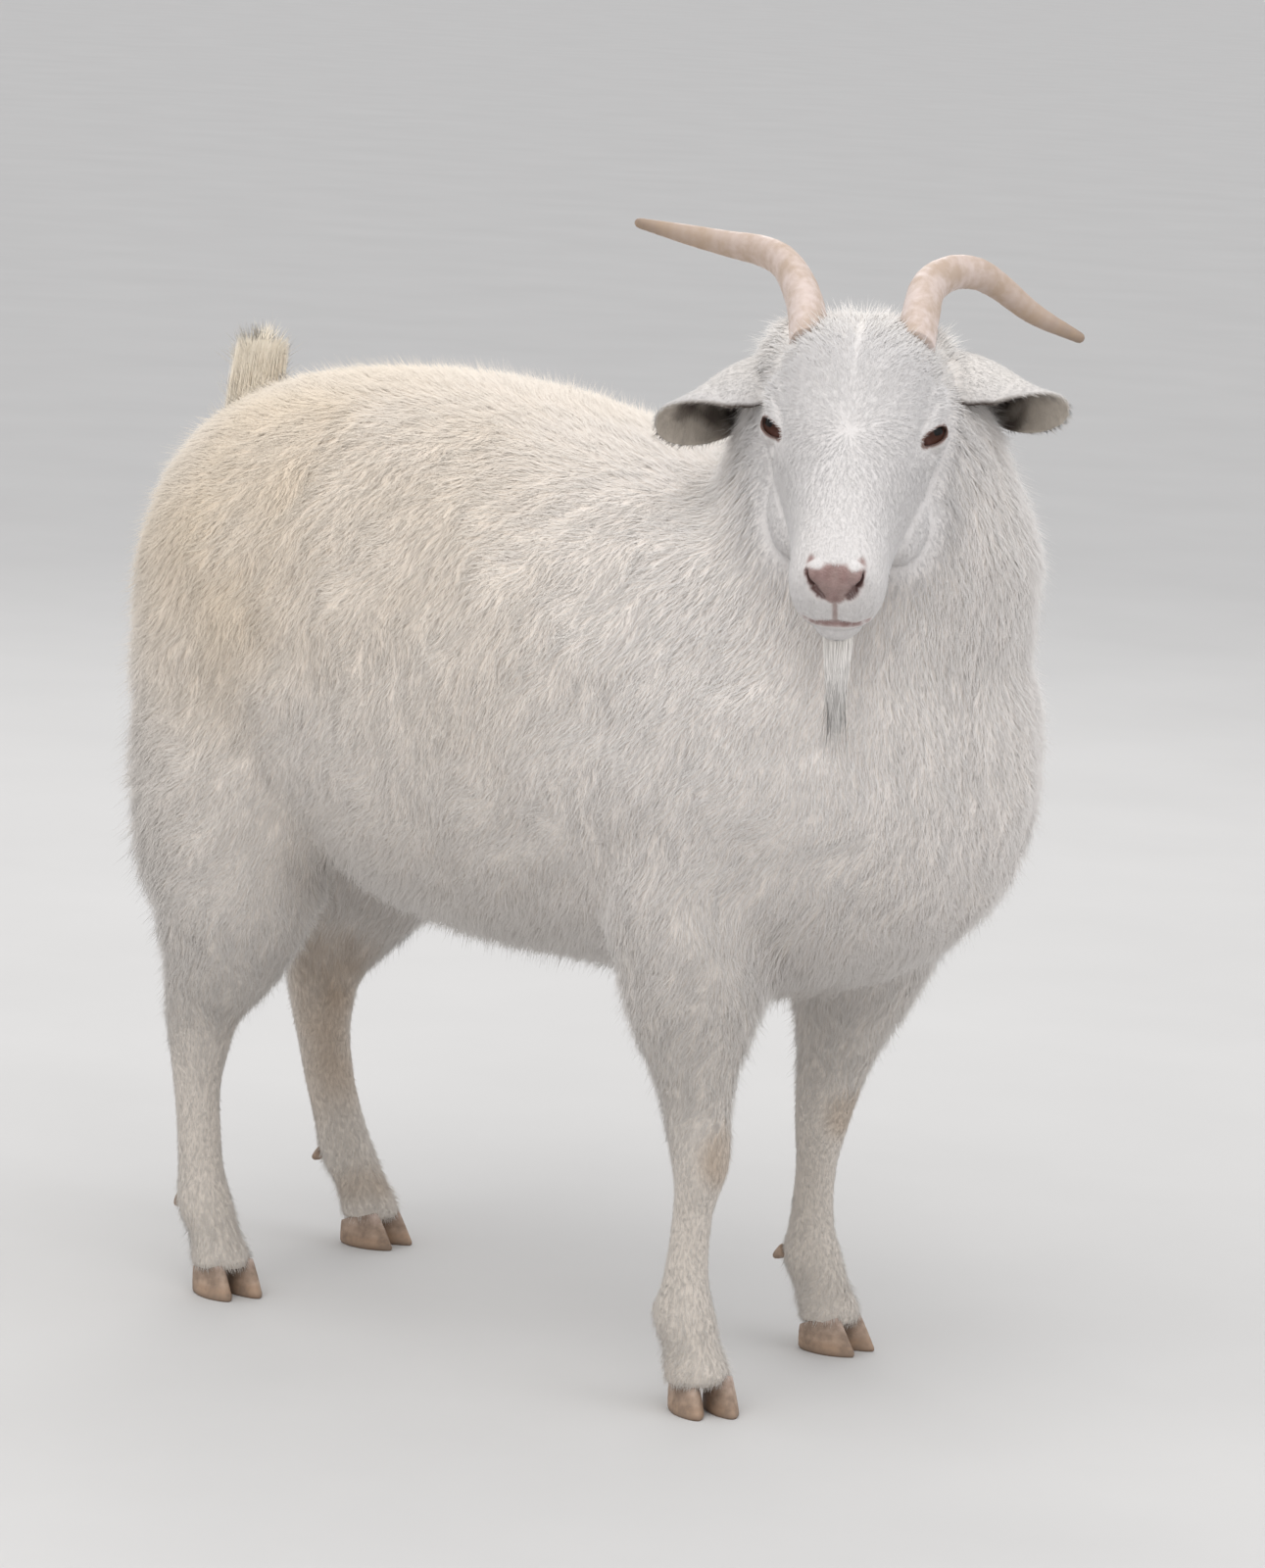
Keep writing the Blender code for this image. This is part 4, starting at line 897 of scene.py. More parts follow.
def read_table(rows, values):
    """The other columns of a table, read off at these values of its first."""
    table = np.array(rows, float)
    return np.stack([np.interp(values, table[:, 0], column) for column in table[:, 1:].T], axis=1)


def mix(first, second, share):
    return np.asarray(first) + (np.asarray(second) - first) * np.clip(share, 0, 1)[:, None]


def tree_of(obj):
    return BVHTree.FromPolygons([v.co for v in obj.data.vertices], [p.vertices for p in obj.data.polygons])


def share_near(tree, places, low, high):
    """1 for places on the surface of a tree, down to 0 at the distance high from it."""
    gaps = np.full(len(places), high)
    for i in np.flatnonzero(np.linalg.norm(places - CROWN, axis=1) < HEAD_REACH):
        _, _, _, gap = tree.find_nearest(Vector(places[i]), high)
        if gap is not None:
            gaps[i] = gap
    return 1 - ease(gaps, low, high)


def beside_slit(places, centre, gaze, slit):
    """Each place of the head frame as seen from the nearer of two openings: out along its gaze, along
    its slit, and across."""
    beside = np.stack([places[:, 0], np.abs(places[:, 1]), places[:, 2]], axis=1) - centre
    gaze = unit(np.array(gaze))
    along = unit(np.array(slit) - np.dot(slit, gaze) * gaze)
    return np.stack([beside @ gaze, beside @ along, beside @ np.cross(gaze, along)], axis=1)


def beside_eye(places):
    return beside_slit(places, EYE, EYE_GAZE, EYE_SLIT)


def lid_reach(places):
    """How far each place of the head frame is from the middle of the lids' opening: 1 at its rim."""
    _, along, across = beside_eye(places).T
    return np.hypot((along - LID_SHIFT) / LID_OPENING[0], across / LID_OPENING[1])


def on_nose_pad(places):
    """1 on the bare wedge of the nose, down to 0 past its edge."""
    x, y, z = places.T
    heights, widths = zip(*NOSE_PAD)
    width = np.interp(z, heights, widths)
    share = ease(x, NOSE_FRONT - 0.004, NOSE_FRONT + 0.002) * ease(width - np.abs(y), -0.0010, 0.0014)
    return share * ease(z, heights[0], heights[0] + 0.003) * (1 - ease(z, heights[-1] - 0.002, heights[-1]))


def in_nostril(places):
    """1 inside the nearer nostril, down to 0 just outside it."""
    return 1 - ease(np.linalg.norm(beside_slit(places, *NOSTRIL) / NOSTRIL_HALVES, axis=1), 1.0, 1.25)


def beside_ear(places):
    """For places of the head frame: how far along the nearer ear, how far from its ridge, and the two
    directions of the ear there, to its tip and into its hollow."""
    down = np.array(hanging_down())
    forward = np.array((-down[2], 0, down[0]))
    nearest = np.full(len(places), np.inf)
    along = np.zeros(len(places))
    ways, hollows = np.zeros((2, len(places), 3))
    for name, knots in EARS.items():
        ridge = smooth_curve(knots, 8)
        steps = len(ridge) - 1
        for i, point in enumerate(ridge):
            way = unit(ridge[min(i + 1, steps)] - ridge[max(i - 1, 0)])
            ahead, below = read_curve(EAR_FACING[name], i / steps)
            hollow = forward * ahead + down * below
            hollow = unit(hollow - np.dot(hollow, way) * way)
            gaps = np.linalg.norm(places - point, axis=1)
            closer = gaps < nearest
            nearest[closer] = gaps[closer]
            along[closer] = i / steps
            ways[closer] = way
            hollows[closer] = hollow
    return along, nearest, ways, hollows


def hair_colour(places, head):
    """The colours of the hair at these places, from how far each belongs to head and ears."""
    x, _, z = places.T
    patch = 0.5 * ease(-x, -0.22, 0.02) + 0.5 * ease(-x, 0.04, 0.20)
    patch *= ease(z + 0.05 * drift(places, 0.09, 3), 0.42, 0.58) * (0.8 + 0.2 * drift(places, 0.045, 4))
    colours = mix(COAT_WHITE, COAT_CREAM, ease(-x, -0.30, 0.05) * ease(z, 0.26, 0.40))
    colours = mix(colours, COAT_YELLOW, patch)
    # darker towards the bottom: partly dust, partly painted shade under the belly and down the legs
    colours = mix(colours, LOWER_DUST_AND_SHADE, 0.8 * (1 - ease(z, 0.08, 0.50)))
    for centre, reach, strength in STAINS:
        stain = 1 - ease(np.linalg.norm((places - centre) / reach, axis=1), 0.35, 1.0)
        colours = mix(colours, COAT_TAN, stain * strength * (0.75 + 0.25 * drift(places, 0.015, 5)))
    # the face's white carries painted shade
    face = mix(CROWN_CREAM, FACE_WHITE_SHADED, ease(in_head(places)[:, 0], 0.00, 0.07))
    return mix(colours, face, head)


class Skin:
    """The finished skin as arrays: places, normals, triangles, and what grows at each point."""

    def __init__(self, mesh, trees, lines):
        mesh.calc_loop_triangles()
        self.faces = np.empty(len(mesh.loop_triangles) * 3, np.int32)
        mesh.loop_triangles.foreach_get("vertices", self.faces)
        self.faces = self.faces.reshape(-1, 3)
        self.places = points_of(mesh)
        self.normals = normals_of(mesh)
        in_face = in_head(self.places)
        height, beside = self.places[:, 2], np.abs(in_face[:, 1])
        gaps = {name: gap_to(in_face, line) for name, line in lines.items()}

        def near(name, edge):
            return share_near(trees[name], self.places, *EDGES[edge])

        def on_line(name):
            return 1 - ease(gaps[name], *EDGES[name])

        self.head = near("head", "head")
        self.face = near("head", "face")
        self.ear = near("ears", "ear") * ease(beside, 0.056, 0.070)
        along, _, _, hollows = beside_ear(in_face)
        inner = ease(np.einsum("ij,ij->i", self.normals, out_of_head(hollows)), -0.1, 0.35)
        self.hollow = self.ear * inner
        self.rim = self.ear * 4 * inner * (1 - inner)
        # mask of the dark hair and painted shade deep in the ear's hollow
        self.deep = self.hollow * (1 - ease(along + 0.12 * drift(in_face, 0.012, 15), 0.68, 0.94))
        self.lid = near("head", "lids") * (1 - ease(lid_reach(in_face), *LID_EDGE))
        self.lid *= ease(beside_eye(in_face)[:, 0], 0.0, 0.004)
        self.pad = on_nose_pad(in_face) * self.head
        self.nostril = np.maximum(in_nostril(in_face), on_line("nostrils"))
        self.lips, self.cleft = on_line("lips"), on_line("philtrum")
        tail_line = smooth_curve([row[:3] for row in TAIL_CORE], 8)
        self.tail = (1 - ease(gap_to(self.places, tail_line), *EDGES["tail"])) * ease(height, 0.590, 0.612)
        clear = 1 - ease(np.minimum(gaps["nostrils"], gaps["lips"]), *EDGES["clear"])
        self.bare = np.clip(self.lid + self.pad + self.nostril + clear + 0.8 * self.cleft, 0, 1)
        short = np.maximum(self.face, self.ear)
        # painted shade on the skin between the tufts, less of it on face and ears
        colours = hair_colour(self.places, short) * mix(SKIN_PAINTED_SHADE, (1, 1, 1), short * 0.6)
        # painted shade on the ears
        colours *= (1 - EAR_PAINTED_SHADE * self.ear)[:, None]
        for colour, share in (
            (EAR_INNER, self.hollow * 0.85),
            # dark hair and painted shade deep in the ear's hollow
            (EAR_DEPTH_HAIR_AND_SHADE, self.deep),
            (NOSE_PINK, 0.8 * self.cleft),
            (LIP_PINK, self.lips * (1 - 0.6 * ease(beside, 0.010, 0.032))),
            (NOSE_PINK, self.pad),
            (NOSE_DARK, self.pad * (0.5 + 0.5 * drift(in_face, 0.006, 8))),
            # painted shade inside the nostrils and along their folds
            (NOSTRIL_SHADE, self.nostril),
            (LID_BROWN, self.lid),
        ):
            colours = mix(colours, colour, share)
        self.colours = np.clip(colours, 0, 1)

    def coat_rows(self):
        """What grows at each point, with the columns of BODY_COAT after its first."""
        places, in_face = self.places, in_head(self.places)
        rows = read_table(BODY_COAT, places[:, 2])
        x, _, z = places.T
        back = ease(z, 0.62, 0.68) * (1 - self.head)
        rows[:, LENGTH] *= 1 + BREECH_MORE * ease(-x, 0.22, 0.33) * ease(z, 0.25, 0.35) * (1 - back)
        rows[:, LIFT] += BELLY_LIFT * (ease(-self.normals[:, 2], 0.3, 0.9) * ease(z, 0.24, 0.30))
        rows = mix(rows, NECK_COAT, on_neck(x, z))
        shaggy = np.zeros(len(places))
        for centre, reach in SHAGGY:
            shaggy = np.maximum(shaggy, 1 - ease(np.linalg.norm((places - centre) / reach, axis=1), 0.4, 1.0))
        shaggy *= 0.75 + 0.25 * drift(places, 0.04, 14)
        longer, wider, *more = SHAGGY_MORE
        rows[:, LENGTH] *= 1 + longer * shaggy
        rows[:, HALF] *= 1 + wider * shaggy
        for column, value in zip((LIFT, PULL, SPACING), more):
            rows[:, column] += value * shaggy
        top = read_table(HEAD_COAT, in_face[:, 0])
        side = read_table(CHEEK_COAT, in_face[:, 0])
        rows = mix(rows, mix(top, side, ease(-in_face[:, 2], 0.028, 0.060)), self.head)
        rows = mix(rows, mix(EAR_COAT, EAR_INNER_COAT, self.hollow), self.ear)
        rows[:, LENGTH] *= 1 - EAR_RIM_LESS * self.rim
        rows = mix(rows, TAIL_COAT, self.tail)
        rows[:, DENSITY] *= 1 - ease(self.bare, 0.05, 0.35)
        socket = np.linalg.norm(beside_eye(in_face), axis=1) < EYE_RADIUS + GAP + LID_THICKNESS * 0.6
        rows[socket, DENSITY] = 0
        rows[:, LENGTH] *= 1 - LID_LESS * (1 - ease(lid_reach(in_face), 1.3, 3.2)) * self.head
        for knots in HORNS.values():
            gaps = gap_to(in_face, smooth_curve(knots[:3], 10))
            rows[gaps < HORN_RADII[0] - HORN_COVER, DENSITY] = 0
        rows[z < COAT_END, DENSITY] = 0
        return rows


def on_neck(x, z):
    """1 on the neck, down to 0 towards trunk and withers."""
    return ease(x, NECK_FROM[0], 0.27) * ease(z, NECK_FROM[1], 0.60)


def lie_of(places, normals, head, ear, tail, draw):
    """The way that the hair lies at each place, along the skin."""
    x, _, z = places.T
    lean = read_table(LEAN, z)[:, 0]
    lean = lean + (NECK_LEAN - lean) * on_neck(x, z)
    ways = np.stack([-lean, np.zeros(len(x)), -np.ones(len(x))], axis=1)
    in_face = in_head(places)
    radial = in_face - WHORL
    radial[:, 1] += np.sign(in_face[:, 1]) * PARTING * (1 - ease(in_face[:, 0], 0.03, 0.10))
    ways = mix(ways, out_of_head(unit(radial)), head)
    _, _, along_ear, _ = beside_ear(in_face)
    ways = mix(ways, out_of_head(along_ear), ear)
    ways = mix(ways, (0.12, 0.0, 1.0), tail)
    ways = unit(ways - np.einsum("ij,ij->i", ways, normals)[:, None] * normals)
    swirl = sum(np.radians(turn) * drift(places, scale, seed) for turn, scale, seed in SWIRLS)
    swirl *= 1 - 0.55 * np.maximum(head, ear)
    swirl *= 1 - 0.5 * ease(x, 0.17, 0.25) * ease(z, 0.40, 0.55)
    swirl += np.radians(STRAY_TURN) * draw.normal(size=len(places))
    side = np.cross(normals, ways)
    return ways * np.cos(swirl)[:, None] + side * np.sin(swirl)[:, None]


def clump_centres(places, spacing, draw):
    """For each tuft the index of the tuft in the middle of its clump."""
    tree = KDTree(len(places))
    for i, place in enumerate(places):
        tree.insert(place, i)
    tree.balance()
    taken = np.zeros(len(places), bool)
    centres = []
    for i in draw.permutation(len(places)):
        if taken[i]:
            continue
        centres.append(i)
        taken[[found[1] for found in tree.find_range(places[i], spacing[i])]] = True
    middle = KDTree(len(centres))
    for i, centre in enumerate(centres):
        middle.insert(places[centre], i)
    middle.balance()
    return np.array([centres[middle.find(place)[1]] for place in places])


def grow_coat(skin, draw):
    """Every tuft of the coat but the beard's, as arrays with a row for each."""
    rows = skin.coat_rows()
    corners = skin.places[skin.faces]
    areas = np.linalg.norm(np.cross(corners[:, 1] - corners[:, 0], corners[:, 2] - corners[:, 0]), axis=1) / 2
    share = 1.0
    grown = np.cumsum(areas * rows[skin.faces, DENSITY].mean(axis=1)) * share
    picks = np.searchsorted(grown, np.arange(int(grown[-1])) + draw.random(int(grown[-1])))
    picks = np.minimum(picks, len(areas) - 1)
    u, v = draw.random((2, len(picks)))
    fold = u + v > 1
    u, v = np.where(fold, 1 - u, u), np.where(fold, 1 - v, v)
    weights = np.stack([1 - u - v, u, v], axis=1)

    def at_roots(values):
        return np.einsum("ij,ij...->i...", weights, values[skin.faces[picks]])

    names = ("places", "head", "face", "ear", "hollow", "deep", "tail")
    coat = {name: at_roots(getattr(skin, name)) for name in names}
    coat["normals"] = unit(at_roots(skin.normals))
    rows = at_roots(rows)
    count = len(picks)
    stray = draw.random(count) < STRAYS
    coat["length"] = rows[:, LENGTH] * draw.uniform(*LENGTH_SPREAD, count) * np.where(stray, STRAY_LENGTH, 1.0)
    coat["half"] = rows[:, HALF] * draw.uniform(*HALF_SPREAD, count) * np.where(stray, STRAY_HALF, 1.0)
    coat["lifts"] = rows[:, LIFTS] + draw.normal(0, LIFT_SPREAD, (count, 1)) + np.where(stray, STRAY_LIFT, 0)[:, None]
    coat["pull"] = rows[:, PULL] * np.where(stray, STRAY_PULL, 1.0)
    coat["lie"] = lie_of(coat["places"], coat["normals"], coat["head"], coat["ear"], coat["tail"], draw)
    coat["bend"] = draw.normal(0, TUFT_BEND, count)
    coat["soft"] = (SKIN_SHADING + (EAR_SHADING - SKIN_SHADING) * coat["ear"])[:, None]
    coat["clump"] = clump_centres(coat["places"], rows[:, SPACING], draw)
    colours = hair_colour(coat["places"], np.maximum(coat["face"], coat["ear"]))
    # painted shade on the ears
    colours *= (1 - EAR_PAINTED_SHADE * coat["ear"])[:, None]
    # dark hair and painted shade deep in the ears' hollows
    colours = mix(mix(colours, EAR_INNER, coat["hollow"] * 0.7), EAR_DEPTH_HAIR_AND_SHADE, coat["deep"])
    colours = mix(colours, TAIL_CREAM, coat["tail"])
    coat["colours"] = colours * (1 + draw.normal(0, TUFT_TONES, (count, 1)))
    return coat


def centre_lines(coat, rings):
    """Places and directions along every tuft, from its sunk root to its tip, drawn to its clump."""
    side = np.cross(coat["normals"], coat["lie"])
    rise = coat["length"] * np.sin(np.radians(coat["lifts"][:, 0]))
    place = coat["places"] - coat["normals"] * (TUFT_SINK * np.clip(rise / FULL_SINK, 0.2, 1))[:, None]
    lines = [place]
    shares = np.linspace(0, 1, rings + 1)
    for low, high in zip(shares, shares[1:]):
        middle = (low + high) / 2
        lift = np.radians(coat["lifts"] @ (1 - middle, middle) if rings > 1 else coat["lifts"][:, 0])[:, None]
        along = coat["lie"] + side * (coat["bend"] * middle)[:, None]
        step = unit(along) * np.cos(lift) + coat["normals"] * np.sin(lift)
        place = place + step * (coat["length"] * (high - low))[:, None]
        lines.append(place)
    lines = np.stack(lines, axis=1)
    pull = (shares**1.6) * coat["pull"][:, None]
    return lines + (lines[coat["clump"]] - lines) * pull[:, :, None]


def tuft_arrays(coat, rings):
    """Points, shading normals, colours and patch places of three-sided tufts, for each tuft."""
    lines = centre_lines(coat, rings)
    normals = coat["normals"]
    share = coat.get("soft", SKIN_SHADING)
    points, shading, tones, patches = [], [], [], []
    for i in range(rings):
        way = unit(lines[:, i + 1] - lines[:, max(i - 1, 0)])
        side = unit(np.cross(normals, way))
        up = np.cross(way, side)
        wide, tall, tone = TUFT_RINGS[rings][i]
        for across, high in ((1.0, -0.25), (0.0, 1.0), (-1.0, -0.25)):
            out = side * across + up * high
            points.append(lines[:, i] + out * (coat["half"] * np.where(high > 0, tall, wide))[:, None])
            shading.append(unit(normals * share + unit(out) * (1 - share)))
            # each ring's tone: painted shade, darkest at the root
            tones.append(coat["colours"] * np.array(tone))
            patches.append((0.5 + across / 2, i / rings))
    points.append(lines[:, -1])
    shading.append(unit(normals + coat.get("crest", 0.25) * unit(lines[:, -1] - lines[:, -2])))
    # painted light on the tip
    tones.append(coat["colours"] * TIP_PAINTED_LIGHT)
    patches.append((0.5, 1.0))
    return [*(np.stack(rows, axis=1) for rows in (points, shading, tones)), np.array(patches)]


def tuft_mesh(name, tufts, spots, home):
    """One mesh that holds these tufts, with their colours and the map OFBake."""
    points, shading, tones, patches = tufts
    count, size = points.shape[:2]
    rings = size // 3
    turn = ((0, 1), (1, 2), (2, 0))
    faces = [(3 * i + a, 3 * i + b, 3 * i + 3 + b, 3 * i + 3 + a) for i in range(rings - 1) for a, b in turn]
    faces += [(size - 4 + a, size - 4 + b, size - 1) for a, b in turn] + [(2, 1, 0)]
    corners = np.array([i for face in faces for i in face])
    starts = np.cumsum([0] + [len(face) for face in faces])[:-1]
    tuft = np.arange(count, dtype=np.int32)[:, None]
    loops = (corners + tuft * size).ravel()
    mesh = bpy.data.meshes.new(name)
    mesh.vertices.add(count * size)
    mesh.loops.add(len(loops))
    mesh.polygons.add(count * len(faces))
    mesh.vertices.foreach_set("co", points.astype(np.float32).ravel())
    mesh.loops.foreach_set("vertex_index", loops.astype(np.int32))
    mesh.polygons.foreach_set("loop_start", (starts + tuft * len(corners)).astype(np.int32).ravel())
    mesh.update(calc_edges=True)
    put_colours(mesh, "hair_colour", tones.reshape(-1, 3))
    soft = mesh.attributes.new("custom_normal", "FLOAT_VECTOR", "POINT")
    soft.data.foreach_set("vector", shading.astype(np.float32).ravel())
    places = spots[:, None] * (1 - PATCH) + patches * PATCH
    unwrap = mesh.uv_layers.new(name="OFBake")
    unwrap.data.foreach_set("uv", places.reshape(-1, 2)[loops].astype(np.float32).ravel())
    obj = bpy.data.objects.new(name, mesh)
    home.objects.link(obj)
    return obj


def turn_share(x, y):
    """The angle round an axis, as a share of the whole turn."""
    return np.arctan2(y, x) / (2 * np.pi) + 0.5


def unwrap_coat(coat):
    """For each tuft the piece that it belongs to and its root's place on an unwrap of the skin there."""
    x, y, z = coat["places"].T
    hx, hy, hz = in_head(coat["places"]).T
    count = len(x)
    pieces = np.full(count, "", dtype="<U24")
    spots = np.zeros((count, 2))
    left = y > 0
    round_trunk = np.abs(np.arctan2(np.abs(y), z - TRUNK_MIDDLE)) / np.pi
    for name, low, high in TRUNK_PIECES:
        inside = (x >= low) & (x < high)
        for side, mask in (("left", inside & left), ("right", inside & ~left)):
            pieces[mask] = f"coat_{name}_{side}"
            spots[mask] = np.stack([(x - low) / (high - low), round_trunk], axis=1)[mask]
    spots[:, 0] = np.clip(spots[:, 0], 0, 1)
    neck = (x > NECK_FROM[0]) & (z > NECK_FROM[1]) & (coat["head"] < 0.5)
    pieces[neck] = "coat_neck"
    spots[neck] = np.stack([turn_share(x - 0.27, y), (z - 0.5) / 0.32], axis=1)[neck]
    for end, ahead in (("fore", x > 0), ("hind", x <= 0)):
        legs = ahead & (z < LEG_COAT_TOP)
        pieces[legs] = f"coat_legs_{end}"
        for name in (f"{end}_r", f"{end}_l"):
            sides = np.array([row[:3] for row in LEGS[name]])[::-1]
            middle = np.stack([np.interp(z, sides[:, 2], sides[:, i]) for i in (0, 1)], axis=1)
            own = legs & ((y > 0) == name.endswith("l"))
            turn = turn_share(x - middle[:, 0], y - middle[:, 1])
            spots[own] = np.stack([turn * 0.49 + 0.5 * name.endswith("l"), z / LEG_COAT_TOP], axis=1)[own]
    head = coat["head"] >= 0.5
    for side, mask in (("left", head & (hy > 0)), ("right", head & (hy <= 0))):
        pieces[mask] = f"coat_head_{side}"
        turn = np.abs(np.arctan2(np.abs(hy), hz + 0.055)) / np.pi
        spots[mask] = np.stack([(hx + 0.07) / 0.33, turn], axis=1)[mask]
    pieces[head & (hx < CROWN_END) & (hz > -0.07)] = "coat_crown"
    ears = coat["ear"] >= 0.5
    along, _, _, hollows = beside_ear(in_head(coat["places"]))
    pieces[ears] = "coat_ears"
    facing = np.einsum("ij,ij->i", coat["normals"], out_of_head(hollows))
    across = np.clip(0.5 + 0.45 * facing, 0, 1) * 0.49
    spots[ears] = np.stack([across + 0.5 * (hy > 0), along], axis=1)[ears]
    tail = coat["tail"] >= 0.5
    pieces[tail] = "coat_tail"
    spots[tail] = np.stack([turn_share(x + 0.315, y), (z - 0.58) / 0.12], axis=1)[tail]
    return pieces, np.clip(spots, 0, 1)


def part_coat(coat, home):
    """The tufts of the coat in pieces, each by its place on the animal."""
    names, spots = unwrap_coat(coat)
    tufts = {rings: tuft_arrays(coat, rings) for rings in (1, 2, 3)}
    pieces = []
    for name in sorted(set(names)):
        own = np.flatnonzero(names == name)
        *rows, patches = tufts[RINGS.get(name, 1)]
        pieces.append(tuft_mesh(name, [*(row[own] for row in rows), patches], spots[own], home))
    return pieces


def brush_of(name, roots, ends, out, thin, colour, home, draw):
    """Long fine strands from their roots to their ends, as one mesh. Out is the side that each faces."""
    count = len(roots)
    ways = ends - roots
    lie = unit(ways)
    brush = {
        "places": roots,
        "normals": unit(out - np.einsum("ij,ij->i", out, lie)[:, None] * lie),
        "lie": lie,
        "length": np.linalg.norm(ways, axis=1),
        "half": draw.uniform(*thin, count),
        "lifts": np.stack([np.full(count, STRAND_BOW), np.full(count, -STRAND_BOW)], axis=1),
        "pull": np.full(count, STRAND_PULL),
        "soft": 0.45,
        "crest": 1.2,
        "bend": draw.normal(0, 0.10, count),
        "colours": np.array([colour]) * (1 + draw.normal(0, TUFT_TONES, (count, 1))),
    }
    brush["clump"] = clump_centres(roots, np.full(count, STRAND_CLUMP), draw)
    spots = roots - roots.min(axis=0)
    spots = spots / spots.max(axis=0)
    return tuft_mesh(name, tuft_arrays(brush, 3), spots[:, :2], home)


def round_roots(counts, draw):
    """How many strands a brush has, how far each is from its middle, and their directions out."""
    count = counts[bool(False)]
    angles = draw.uniform(0, 2 * np.pi, count)
    reach = np.sqrt(draw.random(count))
    return count, reach[:, None], np.stack([np.cos(angles), np.sin(angles), np.zeros(count)], axis=1)


def grow_tail(home, draw):
    """The upright brush of the tail, cut off nearly level at its top."""
    count, reach, out = round_roots(TAIL_STRANDS, draw)
    share = draw.random((count, 1)) ** 1.5
    roots = np.array(TAIL_ROOT) + (np.array(TAIL_SHOULDER) - TAIL_ROOT) * share + out * reach * TAIL_RADIUS
    ends = np.array(TAIL_TOP) + out * reach * TAIL_FLARE - (0, 0, 1) * draw.gamma(1.2, TAIL_RAGGED, (count, 1))
    return brush_of("tail_brush", roots, ends, out, TAIL_THIN, TAIL_CREAM, home, draw)


def grow_beard(home, draw):
    """The tuft of the chin, which hangs straight down and closes to a point."""
    count, reach, out = round_roots(BEARD_STRANDS, draw)
    down = out_of_head(np.array(hanging_down()))
    middle = np.array(head_frame() @ Vector(BEARD_ROOT))
    roots = middle - down * BEARD_SINK + out * reach * BEARD_RADIUS
    lengths = draw.uniform(*BEARD_LENGTHS, (count, 1)) * (1 - 0.45 * reach)
    ends = middle + down * lengths + out * reach * BEARD_TIP + np.array(BEARD_LEAN) * lengths
    return brush_of("beard_strands", roots, ends, out, BEARD_THIN, BEARD_WHITE, home, draw)


# --- horn, hoof and eye ---


def put_values(obj, name, values):
    obj.data.attributes.new(name, "FLOAT", "POINT").data.foreach_set("value", np.asarray(values, np.float32))


def put_colours(mesh, name, colours):
    full = np.ones((len(colours), 4), np.float32)
    full[:, :3] = np.clip(colours, 0, 1)
    mesh.attributes.new(name, "FLOAT_COLOR", "POINT").data.foreach_set("color", full.ravel())


def shade_smooth(obj):
    for face in obj.data.polygons:
        face.use_smooth = True


def make_horn(name, home):
    """A keeled tube along the horn's own curve, with the ridges of its growth, to a blunt tip."""
    rows = smooth_curve([(*point, radius) for point, radius in zip(HORNS[name], HORN_RADII)], HORN_PARTS)
    walked = np.concatenate([[0], np.cumsum(np.linalg.norm(np.diff(rows[:, :3], axis=0), axis=1))])
    angles = 2 * np.pi * np.arange(HORN_SIDES) / HORN_SIDES
    rings = []
    across = Vector((0, 0, 1))
    for i, (x, y, z, radius) in enumerate(rows):
        along = Vector(rows[min(i + 1, len(rows) - 1)][:3] - rows[max(i - 1, 0)][:3]).normalized()
        across = (across - across.dot(along) * along).normalized()
        up = along.cross(across) * HORN_FLATTENING
        share = walked[i] / walked[-1]
        phase = walked[i] / HORN_RIDGE_GAP + 0.35 * math.sin(walked[i] * 190) + 0.06 * np.sin(2 * angles)
        phase *= 2 * np.pi
        ridge = (0.5 + 0.5 * np.cos(phase)) ** 2 * HORN_RIDGE * (1 - 0.75 * share)
        keel = 1 + HORN_KEEL * np.cos(3 * angles + 0.6) * (1 - share)
        reach = radius * keel - HORN_RIDGE * 0.5 + ridge
        ring = np.outer(np.cos(angles) * reach, across) + np.outer(np.sin(angles) * reach, up)
        rings.append(ring + (x, y, z))
    end, last = rows[-1][:3], rings[-1]
    for t in (0.55, 0.9):
        rings.append((last - end) * math.sqrt(1 - t * t) + end + np.array(along) * HORN_RADII[-1] * t)
    rings.append([Vector(end) + along * HORN_RADII[-1]])
    horn = add_object(name, loft(rings), home)
    horn.data.transform(head_frame())
    shares = np.concatenate([walked / walked[-1], [1, 1]]).repeat(HORN_SIDES)
    put_values(horn, "growth", np.append(shares, 1.0))
    shade_smooth(horn)
    return horn


def foot_frame(foot):
    x, y, yaw = FEET[foot]
    return Matrix.Translation((x, y, 0)) @ Matrix.Rotation(math.radians(yaw), 4, "Z")


